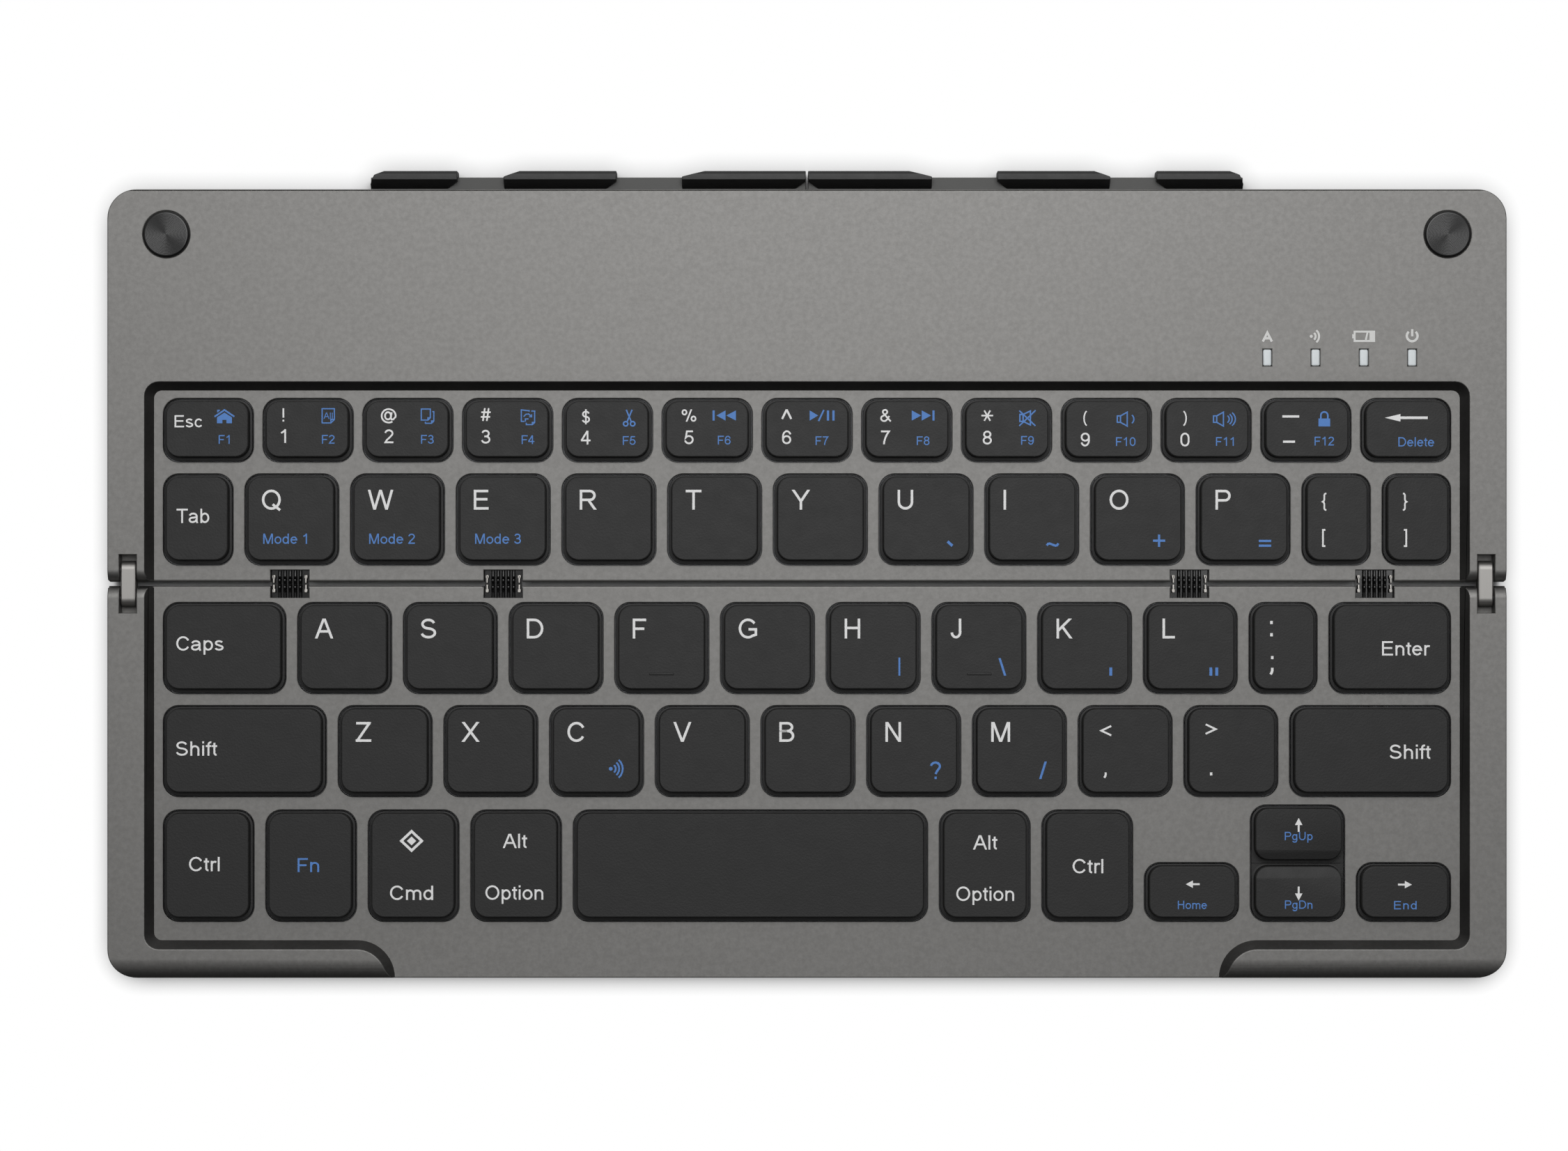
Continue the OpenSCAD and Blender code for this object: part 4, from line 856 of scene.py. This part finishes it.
legends.update({
    "Esc": [word("Esc", 2.08, -3.2, 1.5, width=4.72), sign("house", 3.0, 2.39),
            word("F1", 1.5, 2.95, -1.62, colour="blue")],
    "Dash": [sign("longDash", -2.8, 2.33, "white"), sign("shortDash", -3.1, -2.0, "white"),
             sign("padlock", 2.95, 1.92), word("F12", 1.5, 2.95, -1.9, colour="blue")],
    "Delete": [sign("longArrow", -0.15, 2.1, "white"),
               word("Delete", 1.6, 1.58, -2.03, colour="blue", width=6.16)],
    "Tab": [word("Tab", 2.45, -0.66, 0.6, width=5.62)],
    "LeftBracket": [inkHigh("{", 3.1, -2.35, 3.05), inkHigh("[", 3.07, -2.35, -3.17)],
    "RightBracket": [inkHigh("}", 3.1, -2.12, 3.05), inkHigh("]", 3.07, -2.12, -3.17)],
    "Caps": [word("Caps", 2.45, -4.0, 0.5, width=8.12)],
    "Colon": [inkHigh(":", 2.65, -2.19, 3.39), inkHigh(";", 3.26, -2.19, -2.95)],
    "Enter": [word("Enter", 2.45, 2.56, 0, width=8.24)],
    "LeftShift": [word("Shift", 2.45, -8.06, 0.55, width=7.05)],
    "RightShift": [word("Shift", 2.45, 6.65, 0, width=7.05)],
    "Comma": [inkHigh("<", 1.9, -3.52, 3.61), inkHigh(",", 1.0, -3.58, -4.05)],
    "Dot": [inkHigh(">", 1.9, -3.48, 3.88), inkHigh(".", 0.5, -3.55, -3.81)],
    "LeftCtrl": [word("Ctrl", 2.45, -0.5, 0.43, width=5.26)],
    "Fn": [word("Fn", 2.39, -0.27, 0.25, width=3.7, colour="blue")],
    "Cmd": [sign("diamond", -0.2, 4.4, "white"), word("Cmd", 2.45, -0.2, -4.5, width=7.41)],
    "LeftAlt": [word("Alt", 2.45, -0.1, 4.4, width=4.18), word("Option", 2.45, -0.2, -4.8, width=9.92)],
    "RightAlt": [word("Alt", 2.45, 0, 4.15, width=4.18), word("Option", 2.45, 0, -5.0, width=9.92)],
    "RightCtrl": [word("Ctrl", 2.45, 0, 0.07, width=5.26)],
    "Left": [sign("arrow", 0.05, 1.5, "white"), word("Home", 1.43, 0, -2.05, colour="blue", width=5.02)],
    "Up": [sign("arrow", 0, 1.67, "white", -90), word("PgUp", 1.43, 0, -0.45, colour="blue")],
    "Down": [sign("arrow", 0, 0, "white", 90), word("PgDn", 1.43, 0, -2.11, colour="blue")],
    "Right": [sign("arrow", 0, 1.43, "white", 180), word("End", 1.43, 0.07, -2.1, colour="blue", width=3.88)],
})

widestLetters = 1.12
for node, names in capsOfNode.items():
    printed = {}
    for name in names:
        low, high = capBoxes[name]
        for item in legends.get(name, []):
            target = printed.setdefault(item["colour"], bmesh.new())
            if "word" in item:
                scale = item["cap"] / 100
                part = drawWord(item["word"])
                if item["width"]:
                    # a given width comes first from wider letters, and the rest from the gaps
                    left, right = reach(part, 0)
                    part.free()
                    wider = min(item["width"] / scale / (right - left), widestLetters)
                    gap = (item["width"] / scale / wider - (right - left)) / (len(item["word"]) - 1)
                    part = drawWord(item["word"], gap)
                    bmesh.ops.scale(part, verts=part.verts, vec=(wider, 1, 1))
            else:
                scale = 1.0
                part = drawSign(item["sign"])
            putInk(target, part, scale, (low.x + high.x) / 2 + item["x"], (low.y + high.y) / 2 + item["y"],
                   capTop, item["hold"], item.get("turn", 0))
    for colour, bm in printed.items():
        addPiece(node + "_" + colour + "Legend", bm, inks[colour], bodyOf(node))
print("legends printed")

# Signs of the four lamps, printed on the rim's level beside their windows
lampSet = {"rim": 7.0, "above": 3.66, "rounding": 0.3, "signs": ("capital", "smallWaves", "charge", "power")}
bm = bmesh.new()
for name, (low, high) in zip(lampSet["signs"], islands("indicator_windows")):
    putInk(bm, drawSign(name), 1.0, (low.x + high.x) / 2, (low.y + high.y) / 2 + lampSet["above"],
           lampSet["rim"], "own")
addPiece("lampSigns", bm, greyInk, "upper_half")
softened("indicator_windows", "lampWindows", windowFinish,
         [(lampSet["rounding"], anyEdge)], segments=3)

# how much the edges of the small parts are rounded
smallSet = {"link": 0.25, "leg": 0.12, "knob": 0.2, "foot": 0.2, "screw": 0.08}
for side in ("left", "right"):
    softened(side + "_link", side + "Link", linkFinish, [(smallSet["link"], anyEdge)])
    softened(side + "_leg", side + "Leg", legFinish, [(smallSet["leg"], anyEdge)])
    softened(side + "_leg_shoes", side + "LegShoes", shoeFinish, [(smallSet["leg"], anyEdge)])
softened("power_switch", "powerSwitch", legFinish, [(smallSet["knob"], anyEdge)])
for half in ("upper", "lower"):
    softened(half + "_feet", half + "Feet", shoeFinish, [(smallSet["foot"], anyEdge)])
    softened(half + "_screws", half + "Screws", screwFinish, [(smallSet["screw"], anyEdge)])
    finishNode(half + "_key_plate", plateFinish)
    finishNode(half + "_hinge_pins", screwFinish)
finishNode("main_board", boardFinish)
finishNode("battery", foilFinish)
finishNode("charge_port", plateFinish)
print("links, legs and small parts made")

bumperSet = {
    "radius": 4.04, "top": 7.5, "foot": 6.6, "flat": 3.6,
    "edge": [(3.7, 7.47), (3.82, 7.4), (3.96, 7.24), (4.04, 7.05)],  # radius and height round the edge
    "groovePitch": 0.15, "grooveDepth": 0.013,  # turned grooves that give the top its fan of light
    "turns": 72, "smoothAngle": 18,
}


def turnedDisc(middle):
    # half a section spun round the upright axis
    bm = bmesh.new()
    rings = round(bumperSet["flat"] / bumperSet["groovePitch"])
    section = [(0, bumperSet["top"] - bumperSet["grooveDepth"])]
    for ring in range(1, 2 * rings + 1):
        drop = bumperSet["grooveDepth"] if ring % 2 == 0 else 0
        section.append((ring * bumperSet["groovePitch"] / 2, bumperSet["top"] - drop))
    section += bumperSet["edge"] + [(bumperSet["radius"], bumperSet["foot"]), (0, bumperSet["foot"])]
    verts = [bm.verts.new((r * mm, 0, z * mm)) for r, z in section]
    edges = [bm.edges.new(pair) for pair in zip(verts, verts[1:])]
    bmesh.ops.spin(bm, geom=verts + edges, axis=(0, 0, 1), cent=(0, 0, 0), angle=math.tau,
                   steps=bumperSet["turns"], use_merge=True)
    bmesh.ops.remove_doubles(bm, verts=bm.verts, dist=1e-6)
    bmesh.ops.recalc_face_normals(bm, faces=bm.faces)
    bmesh.ops.translate(bm, verts=bm.verts, vec=(middle.x * mm, middle.y * mm, 0))
    return bm


bm = bmesh.new()
for low, high in islands("bumpers"):
    pour(bm, turnedDisc((low + high) / 2))
discs = addPiece("bumperDiscs", bm, bumperFinish, "upper_half", bumperSet["smoothAngle"])
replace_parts(discs, "bumpers")
print("bumpers turned")

ribbonSet = {
    "wires": 5, "radius": 0.28,
    # one half of a wire from its end to the hinge line: distance from the line and height
    "path": [(2.91, 3.85), (1.9, 3.85), (1.25, 3.92), (0.85, 4.16), (0.58, 4.3), (0.3, 4.12), (0.0, 3.95)],
    "sheath": (0.2, 3.55),      # thickness and height of the black strip under the wires
    "sheathMargin": 1.1, "sheathCuts": 12, "smoothAngle": 50,
    "pivot": 2.45, "bendHalf": 1.1,  # the pins' distance from the line, and a length to both sides of each pin
    # a clip is a bar with a wider head: size and middle from the line
    "clipBar": (0.34, 1.4, 0.3), "clipBarFromLine": 0.82,
    "clipHead": (0.56, 0.62, 0.4), "clipHeadFromLine": 1.2,
    "clipInward": 0.42, "clipTop": 4.6, "clipRounding": 0.1,
}
line = coverSet["hingeLine"]


def wireHalf(x, way):
    data = bpy.data.curves.new("wire", "CURVE")
    data.dimensions = "3D"
    data.bevel_depth = ribbonSet["radius"] * mm
    data.bevel_resolution = 2
    data.resolution_u = 4
    data.use_fill_caps = True
    spline = data.splines.new("BEZIER")
    spline.bezier_points.add(len(ribbonSet["path"]) - 1)
    for point, (away, z) in zip(spline.bezier_points, ribbonSet["path"]):
        point.co = Vector((x, line + way * away, z)) * mm
        point.handle_left_type = point.handle_right_type = "AUTO"
    bm = shapeOfCurve(data, 1e-7)
    bmesh.ops.recalc_face_normals(bm, faces=bm.faces)
    return bm


def sheathHalf(left, right, way):
    # a strip with cuts across
    bm = bmesh.new()
    length, (thick, z) = ribbonSet["path"][0][0], ribbonSet["sheath"]
    middle = ((left + right) / 2, line + way * length / 2, z)
    flatSheet(bm, middle, right - left, length, ribbonSet["sheathCuts"])
    bmesh.ops.solidify(bm, geom=bm.faces[:], thickness=thick * mm)
    bmesh.ops.recalc_face_normals(bm, faces=bm.faces)
    return bm


wires = islands("hinge_ribbons")
clips = {1: bmesh.new(), -1: bmesh.new()}
for window in range(len(wires) // ribbonSet["wires"]):
    group = wires[window * ribbonSet["wires"]:(window + 1) * ribbonSet["wires"]]
    left, right = group[0][0].x - ribbonSet["sheathMargin"], group[-1][1].x + ribbonSet["sheathMargin"]
    for way, half in ((1, "upper"), (-1, "lower")):
        bm = bmesh.new()
        pour(bm, sheathHalf(left, right, way))
        for low, high in group:
            pour(bm, wireHalf((low.x + high.x) / 2, way))
        piece = addPiece(f"{half}Wires{window + 1}", bm, wireFinish,
                         smoothAngle=ribbonSet["smoothAngle"])
        if half == "upper":
            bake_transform(piece)
        else:
            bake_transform(piece)
        if window == 0 and way == 1:
            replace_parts(piece, "hinge_ribbons")
        for x in (left + ribbonSet["clipInward"], right - ribbonSet["clipInward"]):
            for size, away in (("clipBar", "clipBarFromLine"), ("clipHead", "clipHeadFromLine")):
                middle = (x, line + way * ribbonSet[away], ribbonSet["clipTop"] - ribbonSet[size][2] / 2)
                pour(clips[way], block(middle, ribbonSet[size], ribbonSet["clipRounding"]))
for way, half in ((1, "upper"), (-1, "lower")):
    addPiece(half + "HingeClips", clips[way], clipFinish, half + "_half")
print("wires and clips made")

lightSet = {
    # how bright the studio is overhead, high up in front, near the horizon, and how much brighter at the rear
    "overhead": 0.36, "front": 0.05, "horizon": 0.01, "rear": 0.5,
    "softbox": {"place": (0.02, 0.25, 0.6), "aim": (0, 0.02, 0), "size": 0.5, "power": 2.35},
}


def areaLight(name, look):
    data = bpy.data.lights.new(name, "AREA")
    data.energy = look["power"]
    data.size = look["size"]
    lamp = newObject(name, data)
    lamp.location = look["place"]
    lamp.rotation_euler = (Vector(look["place"]) - Vector(look["aim"])).to_track_quat("Z", "Y").to_euler()
    lamp.visible_camera = False


def studioWorld():
    # white where the camera looks past the part, otherwise a soft sky that is darker towards the horizon
    world = bpy.data.worlds.new("studio")
    bpy.context.scene.world = world
    world.use_nodes = True
    tree = world.node_tree
    rays = addNode(tree, "LightPath").outputs
    outwards = addNode(tree, "TexCoord").outputs["Generated"]
    direction = addNode(tree, "SeparateXYZ", links={0: outwards}).outputs
    rise = addNode(tree, "MapRange", {"interpolation_type": "SMOOTHSTEP", "From Min": 0.2, "From Max": 0.9},
                   {"Value": direction["Z"]})
    above = addNode(tree, "MapRange",
                    {"interpolation_type": "SMOOTHSTEP", "From Min": -0.8, "From Max": 0.1,
                     "To Min": lightSet["front"], "To Max": lightSet["overhead"]}, {"Value": direction["Y"]})
    behind = addNode(tree, "MapRange", {"To Min": lightSet["horizon"],
                     "To Max": lightSet["horizon"] + lightSet["rear"]}, {"Value": direction["Y"]})
    studio = addNode(tree, "MapRange", links={"Value": rise.outputs["Result"],
                     "To Min": behind.outputs["Result"], "To Max": above.outputs["Result"]})
    seen = addNode(tree, "Math", {"operation": "MAXIMUM"},
                   {0: rays["Is Camera Ray"], 1: rays["Is Transmission Ray"]})
    strength = addNode(tree, "MapRange", {"To Max": 1.0},
                       {"Value": seen.outputs[0], "To Min": studio.outputs["Result"]})
    background = tree.nodes["Background"]
    background.inputs["Color"].default_value = (1, 1, 1, 1)
    tree.links.new(strength.outputs["Result"], background.inputs["Strength"])


def paperFloor():
    # pale paper that stays white for the camera except close under the part; what the part mirrors of it
    # is white behind the part and dim in front of it, as the light comes from the rear
    floorSet = {"half": 3.0, "colour": "#e8e8e8", "shadowReach": 0.004, "closed": 0.3, "mirroredReach": 0.06,
                "dimAt": -0.03, "whiteAt": 0.15, "dim": 0.05}
    bm = bmesh.new()
    bmesh.ops.create_grid(bm, x_segments=1, y_segments=1, size=floorSet["half"])
    mesh = bpy.data.meshes.new("floor")
    bm.to_mesh(mesh)
    bm.free()
    floor = newObject("floor", mesh)
    look = {"Base Color": srgb(floorSet["colour"]), "Roughness": 0.9}
    material, tree, paper, place = newMaterial("paperFloor", look)
    rays = addNode(tree, "LightPath").outputs
    depth = addNode(tree, "SeparateXYZ", links={0: place}).outputs["Y"]
    rearward = addNode(tree, "MapRange", {"From Min": floorSet["dimAt"], "From Max": floorSet["whiteAt"],
                                          "To Min": floorSet["dim"]}, {"Value": depth})
    near = addNode(tree, "MapRange", {"To Min": floorSet["mirroredReach"], "To Max": floorSet["shadowReach"]},
                   {"Value": rays["Is Camera Ray"]})
    openness = addNode(tree, "AmbientOcclusion", links={"Distance": near.outputs["Result"]})
    mirrored = addNode(tree, "Math", {"operation": "MULTIPLY"},
                       {0: rearward.outputs["Result"], 1: openness.outputs["AO"]})
    brightness = addNode(tree, "MapRange", {"To Max": 1.0},
                         {"Value": rays["Is Camera Ray"], "To Min": mirrored.outputs[0]})
    clear = addNode(tree, "MapRange", {"From Min": floorSet["closed"]}, {"Value": openness.outputs["AO"]})
    share = addNode(tree, "MapRange", links={"Value": rays["Is Camera Ray"],
                    "To Min": rays["Is Glossy Ray"], "To Max": clear.outputs["Result"]})
    glow = addNode(tree, "Emission", links={"Strength": brightness.outputs["Result"]})
    mixed = addNode(tree, "MixShader", links={0: share.outputs["Result"], 1: paper.outputs["BSDF"],
                                                        2: glow.outputs["Emission"]})
    tree.links.new(mixed.outputs["Shader"], tree.nodes["Material Output"].inputs["Surface"])
    mesh.materials.append(material)


areaLight("softbox", lightSet["softbox"])
studioWorld()
paperFloor()
print("floor and lights made")
